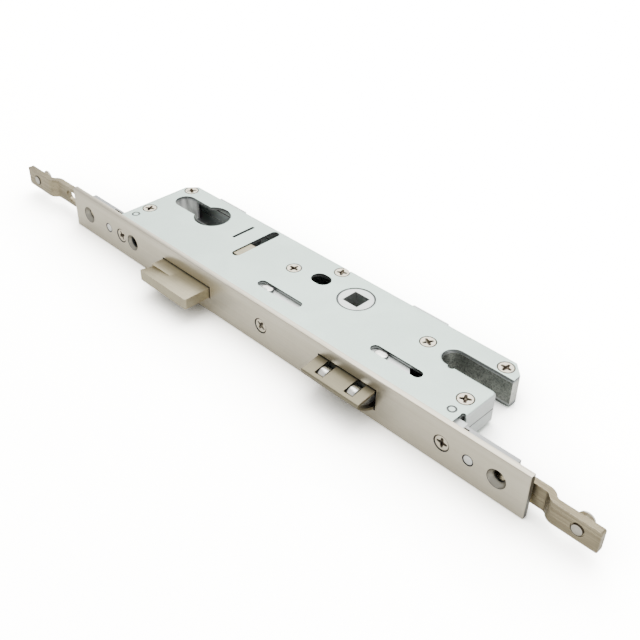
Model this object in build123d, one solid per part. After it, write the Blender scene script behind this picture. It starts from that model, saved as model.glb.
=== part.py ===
from build123d import *
import math
import os

# Multipoint door lock, lying on its side as it rests on a table.
# Millimetres. X runs along the faceplate, Y runs from the faceplate into the door, Z is the spindle axis.
# The origin is on the spindle axis, half-way through the case. The deadbolt is thrown, the latch is out
# and the drive rods are at the left end of their travel.

# Gaps that every piece shares
slide_gap = 0.3
bolt_gap = 0.3
aperture_gap = 0.45
shaft_gap = 0.08
seat_gap = 0.05
pin_gap = 0.25
cut_over = 2.0
touch = 0.01

# Case: two pressed shells
backset = 35.0
centre_distance = 92.0
case_thickness = 13.0
sheet = 1.5
bend_radius = 1.0
seam_gap = 0.3
cylinder_to_case_end = 31.5
cylinder_rear_room = 5.3
spindle_to_arm_end = 75.3
tail_corner_along = 4.4
tail_corner_across = 5.0
arm_corner = 5.6
lobe_corner_radius = 2.0
rear_tab_length = 18.0
rear_tab_height = 0.8
rear_tab_inset = 20.0
rear_tab_from_spindle = 18.7
relief_radius = 1.0
relief_depth = 8.5
relief_width = 2.3
edge_notch_length = 2.6
edge_notch_depth = 1.1
edge_notch_offset = 0.6

# Faceplate
faceplate_width = 20.0
faceplate_thickness = 2.5
faceplate_right_overhang = 33.8
faceplate_left_overhang = 30.7
faceplate_edge_bevel = 0.3

# Cylinder cut-out of the euro profile
cylinder_radius = 8.7
cylinder_tail_half_width = 4.95
cylinder_tail_reach = 24.8
saddle_gap = 0.2
saddle_wall = 1.5
saddle_arm = 1.4
cylinder_screw_reach = 15.4
cylinder_screw_radius = 2.65
cylinder_screw_head_radius = 3.8

# Open slot beside the arm
arm_slot_width = 9.5
arm_slot_offset = -0.75
arm_slot_left_reach = 47.2
arm_slot_notch_radius = 1.1
arm_slot_notch_past_end = 2.2
block_wrap = 2.9
block_wrap_front = 2.8

# Handle fixing hole, round ended along X
handle_hole_distance = 20.2
handle_hole_length = 9.4
handle_hole_width = 7.4

# Screws, posts and rivets
cover_screw_head_radius = 3.5
cover_screw_radius = 1.5
cover_screw_length = 9.0
screw_rim = 0.25
recess_arm = 2.1
recess_width = 0.95
recess_depth = 1.0
cover_post_radius = 2.35
post_rivet_radius = 1.6
lug_peg_radius = 1.75
lug_peg_gap = 0.2
plate_screw_head_radius = 3.4
plate_screw_radius = 1.95
plate_screw_sink = 0.3
plate_screw_length = 10.0
fixing_hole_head_radius = 3.95
fixing_hole_radius = 2.25
rivet_head_radius = 2.3
rivet_shank_radius = 1.5

# Places of the cover screws, from the case's left end, from the spindle or from the arm's end
tail_screw_inset = 5.2
tail_rear_screw_y = 8.7
tail_front_screw_y = -16.4
middle_screw_x = -34.3
middle_screw_y = -2.5
rear_screw_x = -17.7
rear_screw_inset = 3.9
slot_screw_gap = 8.6
slot_screw_y = -0.6
arm_screw_inset = 6.5
lobe_screw_inset = 6.3
lobe_screw_y = -16.6
lug_peg_y = -24.4

# Lugs that take the faceplate screws
lug_depth = 7.9
lug_half_length = 4.4
left_lug_screw_x = -116.1
middle_lug_screw_x = -20.1
right_lug_screw_x = 73.4
lug_rear_step = 3.8

# Drive rods, behind the faceplate
rod_width = 9.4
rod_thickness = 2.8
rod_bend_radius = 3.6
rod_slot_width = 5.5
rod_slot_end_web = 3.6
rod_plate_gap = 1.0
left_rod_end_flat = 18.3
left_rod_bend_gap = 19.8
left_rod_slot_reach = 13.4
right_rod_end_flat = 16.8
right_rod_bend_gap = 4.0
right_rod_slot_margin = 3.0
rod_corner_radius = 0.9
rod_web_from_spindle = 46.0
stud_from_tip = 8.2
stud_head_radius = 2.3
stud_seat_gap = 0.35
stud_seat_depth = 0.5
stud_head_height = 0.6
stud_hole_radius = 1.9
stud_body_radius = 3.2
stud_body_length = 4.0
stud_bevel = 0.5

# Rod guides behind the faceplate
guide_sheet = 1.2
left_guide_near = 0.4
left_guide_inset = 7.3
left_guide_flange_inset = 5.1
right_guide_near = 2.3
right_guide_inset = 8.6
right_guide_flange_inset = 2.4
left_rivet_from_case = 2.5
right_rivet_from_case = 9.6
left_fixing_inset = 11.9
right_fixing_inset = 12.3

# Drive slide and its guide pins
rod_travel = 16.0
slide_thickness = 1.5
slide_front_wide = -24.0
slide_front_narrow = -21.4
slide_rear = -16.2
slide_notch_left = -13.2
slide_notch_length = 3.4
slide_notch_rear = -17.5
slide_right_shoulder = 42.7
slide_arm_left = 43.5
drive_pad_half_width = 4.6
drive_pad_wall = 1.6
tenon_width = 3.0
guide_pin_radius = 2.05
guide_pin_run = 0.9
guide_pin_sink = 0.4
first_guide_pin_x = -31.9
first_guide_pin_y = -20.1
second_guide_pin_x = 30.4
second_guide_pin_y = -18.4
guide_slot_side_gap = 0.15
guide_slot_before = 2.1
guide_slot_after = 0.8

# Follower
follower_boss_radius = 8.0
follower_boss_sink = 0.1
follower_gap = 0.25
hub_radius = 9.5
spindle_square = 8.0
drive_arm_radius = 18.0
drive_arm_end_radius = 3.2
drive_arm_thickness = 2.0
drive_pin_radius = 1.75
drive_pin_sink = 0.1
lobe_reach = 10.4
lobe_radius = 2.2
lobe_thickness = 1.7
lobe_angle_before_latch_lever = -43.0

# Deadbolt
deadbolt_width = 31.6
deadbolt_thickness = 5.0
deadbolt_throw = 13.0
deadbolt_centre_x = -68.2
deadbolt_tip_radius = 1.0
deadbolt_head_inner = 4.0
deadbolt_shoulder_depth = 8.5
deadbolt_shoulder_step = 8.0
tail_slot_x = -60.3
tail_slot_width = 4.4
tail_block_gap = 0.3
tail_block_length = 10.2
tail_block_sink = 0.5
tail_block_front = 1.7
tail_slot_after = 2.0
tail_half_width = 6.0
tail_left_extra = 0.7
barb_depth = 1.3
barb_length = 5.6
barb_reach = 12.8
barb_end_share = 0.08

# Lever that throws the deadbolt, and the leaf spring that bears on its tail
throw_arm = 14.0
throw_pin_radius = 1.5
throw_pin_shoulder = 0.16
throw_pivot_x = -76.0
throw_pivot_radius = 2.0
throw_tip_arm = 8.0
throw_tip_radius = 1.6
lever_thickness = 1.5
lever_half_width = 2.2
lever_boss_radius = 3.4
pivot_head_thickness = 0.4
pivot_head_radius = 2.9
leaf_thickness = 0.6
leaf_bottom = -2.6
leaf_slit_reach = 20.5
leaf_slit_front = -5.0
leaf_slit_length = 12.6
leaf_end_room = 0.6
leaf_slit_width = 1.5
leaf_tab_sink = 1.3
leaf_foot_length = 6.0
leaf_return_front = -4.0

# Latch
latch_left = 13.2
latch_width = 29.1
latch_throw = 9.5
latch_half_height = 4.5
latch_nose_high = 3.1
latch_nose_low = 1.4
latch_sheet = 1.2
latch_nose_round = 0.5
latch_bulge = 1.0
latch_shell_inside = 1.1
carrier_end_inset = 2.3
carrier_rear_reach = 8.5
carrier_top = 2.9
carrier_bottom = -3.3
roller_radius = 3.8
roller_width = 3.7
roller_y_from_plate = 3.6
roller_z = 0.1
roller_bevel = 0.4
roller_inset = 7.4
roller_spacing = 15.0
window_width = 4.5
window_front_gap = 3.9
window_rear_gap = 4.2
axle_radius = 1.0
stem_radius = 2.0
stem_z = -0.3
stem_end_y = -1.8
bracket_front = -8.5
bracket_wall = 1.5
bracket_foot = 7.0
bracket_foot_thickness = 1.2
bracket_half_width = 4.8
bracket_top = 2.6
spring_wire_radius = 0.35
spring_mean_radius = 2.7
spring_turns = 6
stem_pin_radius = 1.25
stem_pin_y = -4.0
latch_lever_arm = 14.0
latch_lever_wall = 0.9
latch_lever_tail = 10.0
latch_lever_tail_angle = -100.0
latch_lever_tail_half_width = 2.0

# Worked out from the sizes above
quarter = 90
quarters = 4
shown_digits = 3
half_case = case_thickness / 2
inner_top = half_case - sheet
faceplate_front = -backset
case_front = faceplate_front + faceplate_thickness
case_rear = cylinder_radius + cylinder_rear_room
cylinder_x = -centre_distance
case_left = cylinder_x - cylinder_to_case_end
case_right = spindle_to_arm_end
faceplate_left = case_left - faceplate_left_overhang
faceplate_right = case_right + faceplate_right_overhang
seam = seam_gap / 2
cylinder_tail_x = cylinder_x - cylinder_tail_reach + cylinder_tail_half_width
arm_slot_radius = arm_slot_width / 2
arm_slot_front = arm_slot_offset - arm_slot_radius
arm_slot_centre_x = arm_slot_left_reach + arm_slot_radius
block_left = arm_slot_left_reach - block_wrap
block_wrap_right = arm_slot_centre_x + arm_slot_notch_past_end
relief_y = case_front + relief_depth
rod_front = case_front + rod_plate_gap
rod_back = rod_front + rod_thickness
rod_bend_turn = math.acos(1 - rod_thickness / 2 / rod_bend_radius)
rod_bend_run = 2 * rod_bend_radius * math.sin(rod_bend_turn)
left_bend_x = faceplate_left - left_rod_bend_gap
right_bend_x = faceplate_right + right_rod_bend_gap
left_tip_x = left_bend_x - rod_bend_run - left_rod_end_flat
right_tip_x = right_bend_x + rod_bend_run + right_rod_end_flat
guide_web_front = rod_back + slide_gap
slide_top = inner_top - slide_gap
slide_bottom = slide_top - slide_thickness
slide_notch_right = slide_notch_left + slide_notch_length
lug_front = rod_back + slide_gap
lug_rear = lug_front + lug_depth
deadbolt_half = deadbolt_thickness / 2
deadbolt_left = deadbolt_centre_x - deadbolt_width / 2
deadbolt_right = deadbolt_centre_x + deadbolt_width / 2
deadbolt_tip = faceplate_front - deadbolt_throw
lever_bottom = slide_gap - inner_top
lever_top = lever_bottom + lever_thickness
latch_right = latch_left + latch_width
latch_centre_x = latch_left + latch_width / 2
carrier_rear = case_front + carrier_rear_reach
roller_y = faceplate_front - roller_y_from_plate
roller_places = [latch_left + roller_inset, latch_left + roller_inset + roller_spacing]
latch_lever_pivot_x = latch_centre_x - latch_lever_arm
latch_lever_pivot_y = stem_pin_y + latch_throw / 2
latch_lever_half_turn = math.degrees(math.atan(latch_throw / 2 / latch_lever_arm))
follower_half_turn = math.degrees(math.asin(rod_travel / 2 / drive_arm_radius))
throw_half_turn = math.degrees(math.asin(deadbolt_throw / 2 / throw_arm))

# The tail block of the deadbolt and the slot it shows through
tail_slot_front = slide_rear + tail_block_front
tail_block_start = tail_slot_front + tail_block_front
tail_block_end = tail_block_start + tail_block_length
tail_slot_rear = tail_block_end + deadbolt_throw + tail_slot_after
tail_left = tail_slot_x - tail_half_width - tail_left_extra
tail_right = tail_slot_x + tail_half_width
shoulder_front = case_front + deadbolt_head_inner
shoulder_rear = shoulder_front + deadbolt_shoulder_depth
throw_pin_y = shoulder_rear + throw_pin_radius + lever_half_width / 2
throw_pivot_y = throw_pin_y + deadbolt_throw / 2

# Columns that the cover screws go into: place in plan, and whether a post of its own carries it
arm_screw_place = (case_right - arm_screw_inset, case_rear - arm_screw_inset + bend_radius)
post_places = [
    (case_left + tail_screw_inset, tail_rear_screw_y),
    (case_left + tail_screw_inset, tail_front_screw_y),
    (middle_screw_x, middle_screw_y),
    (rear_screw_x, case_rear - rear_screw_inset),
    (arm_slot_left_reach - slot_screw_gap, slot_screw_y),
    (case_right - lobe_screw_inset, lobe_screw_y),
]
screw_places = post_places + [arm_screw_place]
left_lug_peg_x = case_left + tail_screw_inset
right_lug_peg_x = case_right - lobe_screw_inset
plate_screw_places = [left_lug_screw_x, middle_lug_screw_x, right_lug_screw_x]
rivet_places = [case_left - left_rivet_from_case, case_right + right_rivet_from_case]
fixing_places = [faceplate_left + left_fixing_inset, faceplate_right - right_fixing_inset]
cylinder_screw_x = cylinder_x - cylinder_screw_reach


# Simple shapes from spans

def middle(span):
    return (span[0] + span[1]) / 2


def length(span):
    return span[1] - span[0]


def block(x, y, z):
    return Pos(middle(x), middle(y), middle(z)) * Box(length(x), length(y), length(z))


def post_z(x, y, radius, z):
    return Pos(x, y, middle(z)) * Cylinder(radius, length(z))


def post_y(x, z, radius, y):
    return Pos(x, middle(y), z) * Rot(quarter, 0, 0) * Cylinder(radius, length(y))


def post_x(y, z, radius, x):
    return Pos(middle(x), y, z) * Rot(0, quarter, 0) * Cylinder(radius, length(x))


def plate(outline, z):
    return extrude(Pos(0, 0, z[0]) * outline, amount=length(z))


def wall(outline, y):
    # The outline is drawn with X to the right and Z up, and runs along Y.
    return extrude(Plane((0, y[1], 0), x_dir=(1, 0, 0), z_dir=(0, -1, 0)) * outline, amount=length(y))


def slot_x(x, y, radius):
    return Pos(middle(x), y) * SlotOverall(length(x), 2 * radius)


def slot_y(x, y, radius):
    return Pos(x, middle(y)) * SlotOverall(length(y), 2 * radius, rotation=quarter)


def rectangle(x, y):
    return Pos(middle(x), middle(y)) * Rectangle(length(x), length(y))


def bar(start, end, half_width):
    # A round ended bar between two points in plan.
    run = math.dist(start, end)
    turn = math.degrees(math.atan2(end[1] - start[1], end[0] - start[0]))
    centre = ((start[0] + end[0]) / 2, (start[1] + end[1]) / 2)
    return Pos(*centre) * SlotCenterToCenter(run, 2 * half_width, rotation=turn)


def polar(centre, radius, degrees):
    angle = math.radians(degrees)
    return (centre[0] + radius * math.cos(angle), centre[1] + radius * math.sin(angle))


# Screws, drawn pointing down with the head's face at zero

def screw_body(head_radius, shank_radius, screw_length, gap):
    cone_height = head_radius - shank_radius
    cone_low = -screw_rim - cone_height
    rim = post_z(0, 0, head_radius + gap, (-screw_rim, gap * cut_over))
    cone = Pos(0, 0, -screw_rim - cone_height / 2) * Cone(shank_radius + gap, head_radius + gap, cone_height)
    shank = post_z(0, 0, shank_radius + gap, (-screw_length, cone_low))
    return rim + cone + shank


def cross_recess():
    depth = (-recess_depth, cut_over)
    along = (-recess_arm, recess_arm)
    across = (-recess_width / 2, recess_width / 2)
    return block(along, across, depth) + block(across, along, depth)


def screw(head_radius, shank_radius, screw_length):
    return screw_body(head_radius, shank_radius, screw_length, 0) - cross_recess()


def facing_front(x, y):
    # Stands a screw in the faceplate, with its point into the door.
    return Pos(x, y, 0) * Rot(quarter, 0, 0)


def cover_screw_holes():
    cutter = screw_body(cover_screw_head_radius, cover_screw_radius, cover_screw_length + cut_over, seat_gap)
    return [Pos(x, y, half_case) * cutter for x, y in screw_places]


# Case outline and the openings that go through both shells

def case_outline():
    outline = Polygon(
        (case_left, case_front),
        (case_right, case_front),
        (case_right, case_rear - arm_corner),
        (case_right - arm_corner, case_rear),
        (case_left + tail_corner_along, case_rear),
        (case_left, case_rear - tail_corner_across),
        align=None,
    )
    outline -= arm_slot()
    corner = outline.vertices().sort_by_distance((case_right, arm_slot_front, 0))[0]
    return fillet(corner, lobe_corner_radius)


def arm_slot():
    right = case_right + arm_slot_width
    notch = Pos(block_wrap_right, arm_slot_front) * Circle(arm_slot_notch_radius)
    return slot_x((arm_slot_left_reach, right + arm_slot_width), arm_slot_offset, arm_slot_radius) + notch


def cylinder_profile(gap):
    tail_end = cylinder_tail_x
    half_width = cylinder_tail_half_width + gap
    tail = rectangle((tail_end, cylinder_x), (-half_width, half_width))
    return Pos(cylinder_x, 0) * Circle(cylinder_radius + gap) + tail + Pos(tail_end, 0) * Circle(half_width)


def case_cavity():
    # Inside of a shell, open at the front and round the arm.
    left = case_left + sheet
    right = case_right - sheet
    rear = case_rear - sheet
    corner_shift = sheet * math.tan(math.atan2(tail_corner_along, tail_corner_across) / 2)
    main = Polygon(
        (left, case_front - cut_over),
        (right, case_front - cut_over),
        (right, arm_slot_front - sheet),
        (block_wrap_right, arm_slot_front - sheet),
        (block_wrap_right, rear),
        (case_left + tail_corner_along + corner_shift, rear),
        (left, case_rear - tail_corner_across - corner_shift),
        align=None,
    )
    arm_room = rectangle((block_left, case_right + cut_over), (arm_slot_offset, case_rear + cut_over))
    return main + arm_room


def is_bent(edge):
    centre = edge.center()
    at_top = abs(centre.Z - half_case) < touch
    at_front = abs(centre.Y - case_front) < touch
    beside_arm = centre.X > block_left and centre.Y > arm_slot_front + touch
    return at_top and not at_front and not beside_arm


def shell_half():
    shell = plate(case_outline(), (seam, half_case))
    shell = fillet([edge for edge in shell.edges() if is_bent(edge)], bend_radius)
    tab_starts = [cylinder_x - rear_tab_inset + rear_tab_length / 2, rear_tab_from_spindle]
    for start in tab_starts:
        shell += block((start, start + rear_tab_length), (case_rear - sheet, case_rear + rear_tab_height),
                       (seam, half_case - bend_radius / 2))
    shell -= plate(case_cavity(), (0, inner_top))
    through = (-cut_over, half_case + cut_over)
    shell -= plate(cylinder_profile(0), through)
    half_hole = handle_hole_length / 2
    handle_span = (-handle_hole_distance - half_hole, -handle_hole_distance + half_hole)
    shell -= plate(slot_x(handle_span, 0, handle_hole_width / 2), through)
    shell -= post_z(0, 0, follower_boss_radius + follower_gap, through)
    for x in (left_lug_peg_x, right_lug_peg_x):
        shell -= post_z(x, lug_peg_y, lug_peg_radius + lug_peg_gap, through)
    relief = (case_right - relief_width, case_right + cut_over)
    shell -= block(relief, (case_front - cut_over, relief_y), through)
    shell -= post_z(case_right - sheet, relief_y, relief_radius, through)
    rod_room = (0, rod_width / 2 + slide_gap)
    left_wall = (case_left - cut_over, case_left + cut_over)
    shell -= block(left_wall, (case_front - cut_over, guide_web_front), rod_room)
    return shell


# Case pieces

def case_cover():
    cover = shell_half()
    through = (0, half_case + cut_over)
    for cutter in cover_screw_holes():
        cover -= cutter
    tail_radius = tail_slot_width / 2
    cover -= plate(slot_y(tail_slot_x, (tail_slot_front, tail_slot_rear), tail_radius), through)
    for x, y in ((first_guide_pin_x, first_guide_pin_y), (second_guide_pin_x, second_guide_pin_y)):
        radius = guide_pin_radius + guide_slot_side_gap
        reach = radius + guide_pin_run
        span = (x - reach - guide_slot_before, x + rod_travel + reach + guide_slot_after)
        cover -= plate(slot_x(span, y, radius), through)
    cover -= plate(rectangle(*leaf_slit()), through)
    notch_x = rear_screw_x - edge_notch_offset
    notch_y = case_rear - edge_notch_depth
    cover -= block((notch_x, notch_x + edge_notch_length), (notch_y, case_rear + cut_over),
                   (inner_top, half_case + cut_over))
    return cover


def case_base():
    base = mirror(shell_half(), about=Plane.XY)
    through = (-half_case - cut_over, 0)
    for x, y in post_places:
        base -= post_z(x, y, post_rivet_radius, through)
    for x, y in pivot_places():
        base -= post_z(x, y, post_rivet_radius, through)
    return base


def faceplate():
    strip = block((faceplate_left, faceplate_right), (faceplate_front, case_front), (-faceplate_width / 2, faceplate_width / 2))
    strip = chamfer(strip.faces().sort_by(Axis.Y)[0].edges(), faceplate_edge_bevel)
    depth = (faceplate_front - cut_over, case_front + cut_over)
    head_face = faceplate_front + plate_screw_sink
    for x in plate_screw_places:
        cutter = screw_body(plate_screw_head_radius, plate_screw_radius, lug_depth, seat_gap)
        strip -= facing_front(x, head_face) * cutter
        strip -= post_y(x, 0, plate_screw_head_radius + seat_gap, (depth[0], head_face))
    for x in fixing_places:
        cutter = screw_body(fixing_hole_head_radius, fixing_hole_radius, lug_depth, 0)
        strip -= facing_front(x, faceplate_front) * cutter
    cutter = screw_body(cylinder_screw_head_radius, cylinder_screw_radius, lug_depth, 0)
    strip -= facing_front(cylinder_screw_x, faceplate_front) * cutter
    for x in rivet_places:
        strip -= post_y(x, 0, rivet_head_radius + seat_gap, depth)
    for left, right, half in ((deadbolt_left, deadbolt_right, deadbolt_half),
                              (latch_left, latch_right, latch_half_height)):
        half += aperture_gap
        strip -= block((left - aperture_gap, right + aperture_gap), depth, (-half, half))
    return strip


def cover_screws():
    one = screw(cover_screw_head_radius, cover_screw_radius, cover_screw_length)
    return Compound(children=[Pos(x, y, half_case) * one for x, y in screw_places])


def cover_posts():
    posts = []
    cutters = cover_screw_holes()
    for place, cutter in zip(post_places, cutters):
        post = post_z(*place, cover_post_radius, (-inner_top, inner_top))
        post += post_z(*place, post_rivet_radius, (-half_case, -inner_top))
        posts.append(post - cutter)
    return Compound(children=posts)


def faceplate_screws():
    one = screw(plate_screw_head_radius, plate_screw_radius, plate_screw_length)
    return Compound(children=[facing_front(x, faceplate_front + plate_screw_sink) * one
                              for x in plate_screw_places])


def tapped_hole(x):
    point = faceplate_front + plate_screw_sink + plate_screw_length
    return post_y(x, 0, plate_screw_radius + seat_gap, (case_front - cut_over, point + seat_gap))


def left_fixing_lug():
    right = left_lug_screw_x + lug_half_length
    body = block((case_left + sheet, right), (lug_front, lug_rear), (-inner_top, inner_top))
    body += post_z(left_lug_peg_x, lug_peg_y, lug_peg_radius, (-half_case, half_case))
    return body - tapped_hole(left_lug_screw_x)


def middle_fixing_lug():
    span = (middle_lug_screw_x - lug_half_length, middle_lug_screw_x + lug_half_length)
    body = block(span, (case_front, lug_rear - lug_rear_step), (-inner_top, inner_top))
    return body - tapped_hole(middle_lug_screw_x)


def right_fixing_lug():
    left = right_lug_peg_x - lug_peg_radius - seat_gap
    body = block((left, case_right - relief_width), (lug_front, lug_rear), (-inner_top, inner_top))
    step = right_lug_screw_x + lug_half_length - bend_radius
    body += block((left, step), (lug_front, relief_y - relief_radius), (-inner_top, inner_top))
    body += post_z(right_lug_peg_x, lug_peg_y, lug_peg_radius, (-half_case, half_case))
    return body - tapped_hole(right_lug_screw_x)


def rod_guide(web, flange):
    # A channel round the drive rod: a web behind the rod and a flange above and below it.
    inner = rod_width / 2 + slide_gap
    outer = inner + guide_sheet
    depth = (guide_web_front, guide_web_front + guide_sheet)
    guide = block(web, depth, (-inner - guide_sheet, outer))
    for z in ((inner, outer), (-outer, -inner)):
        guide += block(flange, (case_front, depth[1]), z)
    for x in fixing_places:
        guide -= post_y(x, 0, fixing_hole_radius + seat_gap, (case_front, depth[1] + cut_over))
    for x in rivet_places:
        guide -= post_y(x, 0, rivet_shank_radius, (case_front, depth[1] + cut_over))
    return guide


def left_rod_guide():
    left = faceplate_left + left_guide_inset
    right = case_left - left_guide_near
    return rod_guide((left, right), (left, right - left_guide_flange_inset))


def right_rod_guide():
    left = case_right + right_guide_near
    right = faceplate_right - right_guide_inset
    return rod_guide((left, right), (left + right_guide_flange_inset, right))


def guide_rivets():
    rivets = []
    web = (guide_web_front, guide_web_front + guide_sheet)
    for x in rivet_places:
        rivet = post_y(x, 0, rivet_head_radius, (faceplate_front, guide_web_front))
        rivet += post_y(x, 0, rivet_shank_radius, web)
        rivets.append(rivet)
    return Compound(children=rivets)


def arm_block():
    # Die-cast filling of the arm, wrapped round the closed end of the open slot.
    outline = Polygon(
        (block_left, arm_slot_front - block_wrap_front),
        (block_wrap_right, arm_slot_front - block_wrap_front),
        (block_wrap_right, arm_slot_offset),
        (case_right, arm_slot_offset),
        (case_right, case_rear - arm_corner),
        (case_right - arm_corner, case_rear),
        (block_left, case_rear),
        align=None,
    )
    body = plate(outline - arm_slot(), (-inner_top, inner_top))
    return body - cover_screw_holes()[-1]


def cylinder_saddle():
    # Wall round the tail of the cylinder, short of the fixing screw.
    outer = cylinder_profile(saddle_gap + saddle_wall)
    left = cylinder_tail_x - cylinder_tail_half_width - saddle_wall
    side = cylinder_radius + saddle_wall
    clip = rectangle((left - cut_over, cylinder_tail_x + saddle_arm), (-side, side))
    return plate((outer & clip) - cylinder_profile(saddle_gap), (-inner_top, inner_top))


# Deadbolt, its lever and its leaf spring

def leaf_slit():
    centre = cylinder_x + leaf_slit_reach
    return ((centre - leaf_slit_width / 2, centre + leaf_slit_width / 2),
            (leaf_slit_front, leaf_slit_front + leaf_slit_length))


def deadbolt():
    z = (-deadbolt_half, deadbolt_half)
    bolt = block((deadbolt_left, deadbolt_right), (deadbolt_tip, shoulder_front), z)
    upright = bolt.edges().filter_by(Axis.Z)
    tip_edges = [edge for edge in upright if abs(edge.center().Y - deadbolt_tip) < touch]
    bolt = fillet(tip_edges, deadbolt_tip_radius)
    shoulder_left = deadbolt_left + deadbolt_shoulder_step
    bolt += block((shoulder_left, deadbolt_right), (shoulder_front, shoulder_rear), z)
    bolt += block((tail_left, tail_right), (shoulder_rear, tail_block_end), z)
    half_block = tail_slot_width / 2 - tail_block_gap
    bolt += block((tail_slot_x - half_block, tail_slot_x + half_block), (tail_block_start, tail_block_end),
                  (deadbolt_half, half_case - tail_block_sink))
    pin_x = throw_pin_span()
    gap = throw_pin_radius + pin_gap
    bolt -= plate(slot_x((pin_x[0] - gap, pin_x[1] + gap), throw_pin_y, gap), (z[0] - cut_over, z[1] + touch))
    return bolt - barb()


def throw_pin_span():
    far = throw_pivot_x + throw_arm
    near = throw_pivot_x + throw_arm * math.cos(math.radians(throw_half_turn))
    return (near, far)


def barb():
    # Shallow wedge in the top of the deadbolt's left corner, deepest along a step behind the tip.
    rear = deadbolt_tip + barb_length + deadbolt_tip_radius
    low = (rear, deadbolt_half - barb_depth)
    corners = [(rear, deadbolt_half), low, (deadbolt_tip - deadbolt_tip_radius, deadbolt_half)]
    left = Plane((deadbolt_left - touch, 0, 0), x_dir=(0, 1, 0), z_dir=(1, 0, 0))
    right = Plane((deadbolt_left + barb_reach, 0, 0), x_dir=(0, 1, 0), z_dir=(1, 0, 0))
    small = [(rear + (y - rear) * barb_end_share, deadbolt_half + (z - deadbolt_half) * barb_end_share)
             for y, z in corners]
    return loft([left * Polygon(*corners, align=None), right * Polygon(*small, align=None)], ruled=True)


def deadbolt_lever():
    pivot = (throw_pivot_x, throw_pivot_y)
    pin = polar(pivot, throw_arm, -throw_half_turn)
    towards_cylinder = math.degrees(math.atan2(-pivot[1], cylinder_x - pivot[0]))
    tip = polar(pivot, throw_tip_arm, towards_cylinder - throw_half_turn)
    outline = bar(pivot, pin, lever_half_width) + bar(pivot, tip, throw_tip_radius)
    outline += Pos(*pivot) * Circle(lever_boss_radius)
    outline -= Pos(*pivot) * Circle(throw_pivot_radius + shaft_gap)
    outline -= Pos(*pin) * Circle(throw_pin_radius - throw_pin_shoulder)
    return plate(outline, (lever_bottom, lever_top))


def deadbolt_lever_pin():
    pin = polar((throw_pivot_x, throw_pivot_y), throw_arm, -throw_half_turn)
    body = post_z(*pin, throw_pin_radius, (lever_top, deadbolt_half - slide_gap))
    return body + post_z(*pin, throw_pin_radius - throw_pin_shoulder, (lever_bottom, lever_top))


def pivot_places():
    return [(throw_pivot_x, throw_pivot_y), (latch_lever_pivot_x, latch_lever_pivot_y)]


def lever_pivots():
    pivots = []
    for x, y in pivot_places():
        head_bottom = lever_top + slide_gap / 2
        pivot = post_z(x, y, throw_pivot_radius, (-inner_top, head_bottom))
        pivot += post_z(x, y, pivot_head_radius, (head_bottom, lever_top + pivot_head_thickness))
        pivots.append(pivot + post_z(x, y, post_rivet_radius, (-half_case, -inner_top)))
    return Compound(children=pivots)


def leaf_spring():
    # A strip on edge: one leg stands in the slit, a half turn leads to the leg beside the deadbolt's tail.
    slit_x, slit_y_span = leaf_slit()
    anchor_x = middle(slit_x)
    return_x = tail_left - bolt_gap - leaf_thickness / 2
    bend = (return_x - anchor_x) / 2
    front = slit_y_span[0] + leaf_end_room / 2
    turn_y = slit_y_span[1] - leaf_end_room
    with BuildLine() as path:
        Line((anchor_x, front), (anchor_x, turn_y))
        ThreePointArc((anchor_x, turn_y), (anchor_x + bend, turn_y + bend), (return_x, turn_y))
        Line((return_x, turn_y), (return_x, leaf_return_front))
    strip = offset(path.line, amount=leaf_thickness / 2, side=Side.BOTH, closed=True)
    leaf = plate(make_face(strip), (leaf_bottom, slide_top))
    half = leaf_thickness / 2
    leaf += block((anchor_x - half, anchor_x + half), (front, turn_y), (slide_top, half_case - leaf_tab_sink))
    foot = (turn_y - leaf_foot_length, turn_y)
    return leaf + block((anchor_x - half, anchor_x + half), foot, (-inner_top, leaf_bottom))


# Drive rods, slide and follower

def rod_body(inner_x, bend_x, tip_x):
    # A flat bar on edge with an S-bend that brings it forward by its own thickness.
    way = 1 if tip_x > inner_x else -1
    half = rod_thickness / 2
    inner_y = rod_front + half
    outer_y = inner_y - rod_thickness
    bend_end = bend_x + way * rod_bend_run
    lean = (way * half * math.sin(rod_bend_turn), half * math.cos(rod_bend_turn))
    centre = (bend_x + way * rod_bend_run / 2, (inner_y + outer_y) / 2)
    with BuildSketch() as outline:
        with BuildLine():
            for side in (-1, 1):
                shift = half * side
                joint = (centre[0] + side * lean[0], centre[1] + side * lean[1])
                Line((inner_x, inner_y + shift), (bend_x, inner_y + shift))
                TangentArc((bend_x, inner_y + shift), joint, tangent=(way, 0))
                TangentArc((bend_end, outer_y + shift), joint, tangent=(-way, 0))
                Line((bend_end, outer_y + shift), (tip_x, outer_y + shift))
            Line((inner_x, inner_y - half), (inner_x, inner_y + half))
            Line((tip_x, outer_y - half), (tip_x, outer_y + half))
        make_face()
    body = plate(outline.sketch, (-rod_width / 2, rod_width / 2))
    corners = [edge for edge in body.edges().filter_by(Axis.Y) if abs(edge.center().X - tip_x) < touch]
    return fillet(corners, rod_corner_radius)


def rod_slot(x):
    outline = Pos(middle(x), 0) * SlotOverall(length(x), rod_slot_width)
    return wall(outline, (rod_front - cut_over, rod_back + cut_over))


def tenon_span(rod_web_x):
    centre = middle(rod_web_x)
    return (centre - tenon_width / 2, centre + tenon_width / 2)


def left_rod_web():
    right = cylinder_screw_x + cylinder_screw_radius + rod_slot_end_web
    return (right - rod_slot_end_web, right)


def right_rod_web():
    return (rod_web_from_spindle, rod_web_from_spindle + rod_slot_end_web)


def left_rod():
    web = left_rod_web()
    rod = rod_body(web[1], left_bend_x, left_tip_x)
    rod -= rod_slot((faceplate_left - left_rod_slot_reach, web[0]))
    rod -= block(tenon_span(web), (rod_front - cut_over, rod_back + cut_over), (slide_bottom, rod_width))
    return rod - stud_hole(left_tip_x + stud_from_tip)


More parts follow.
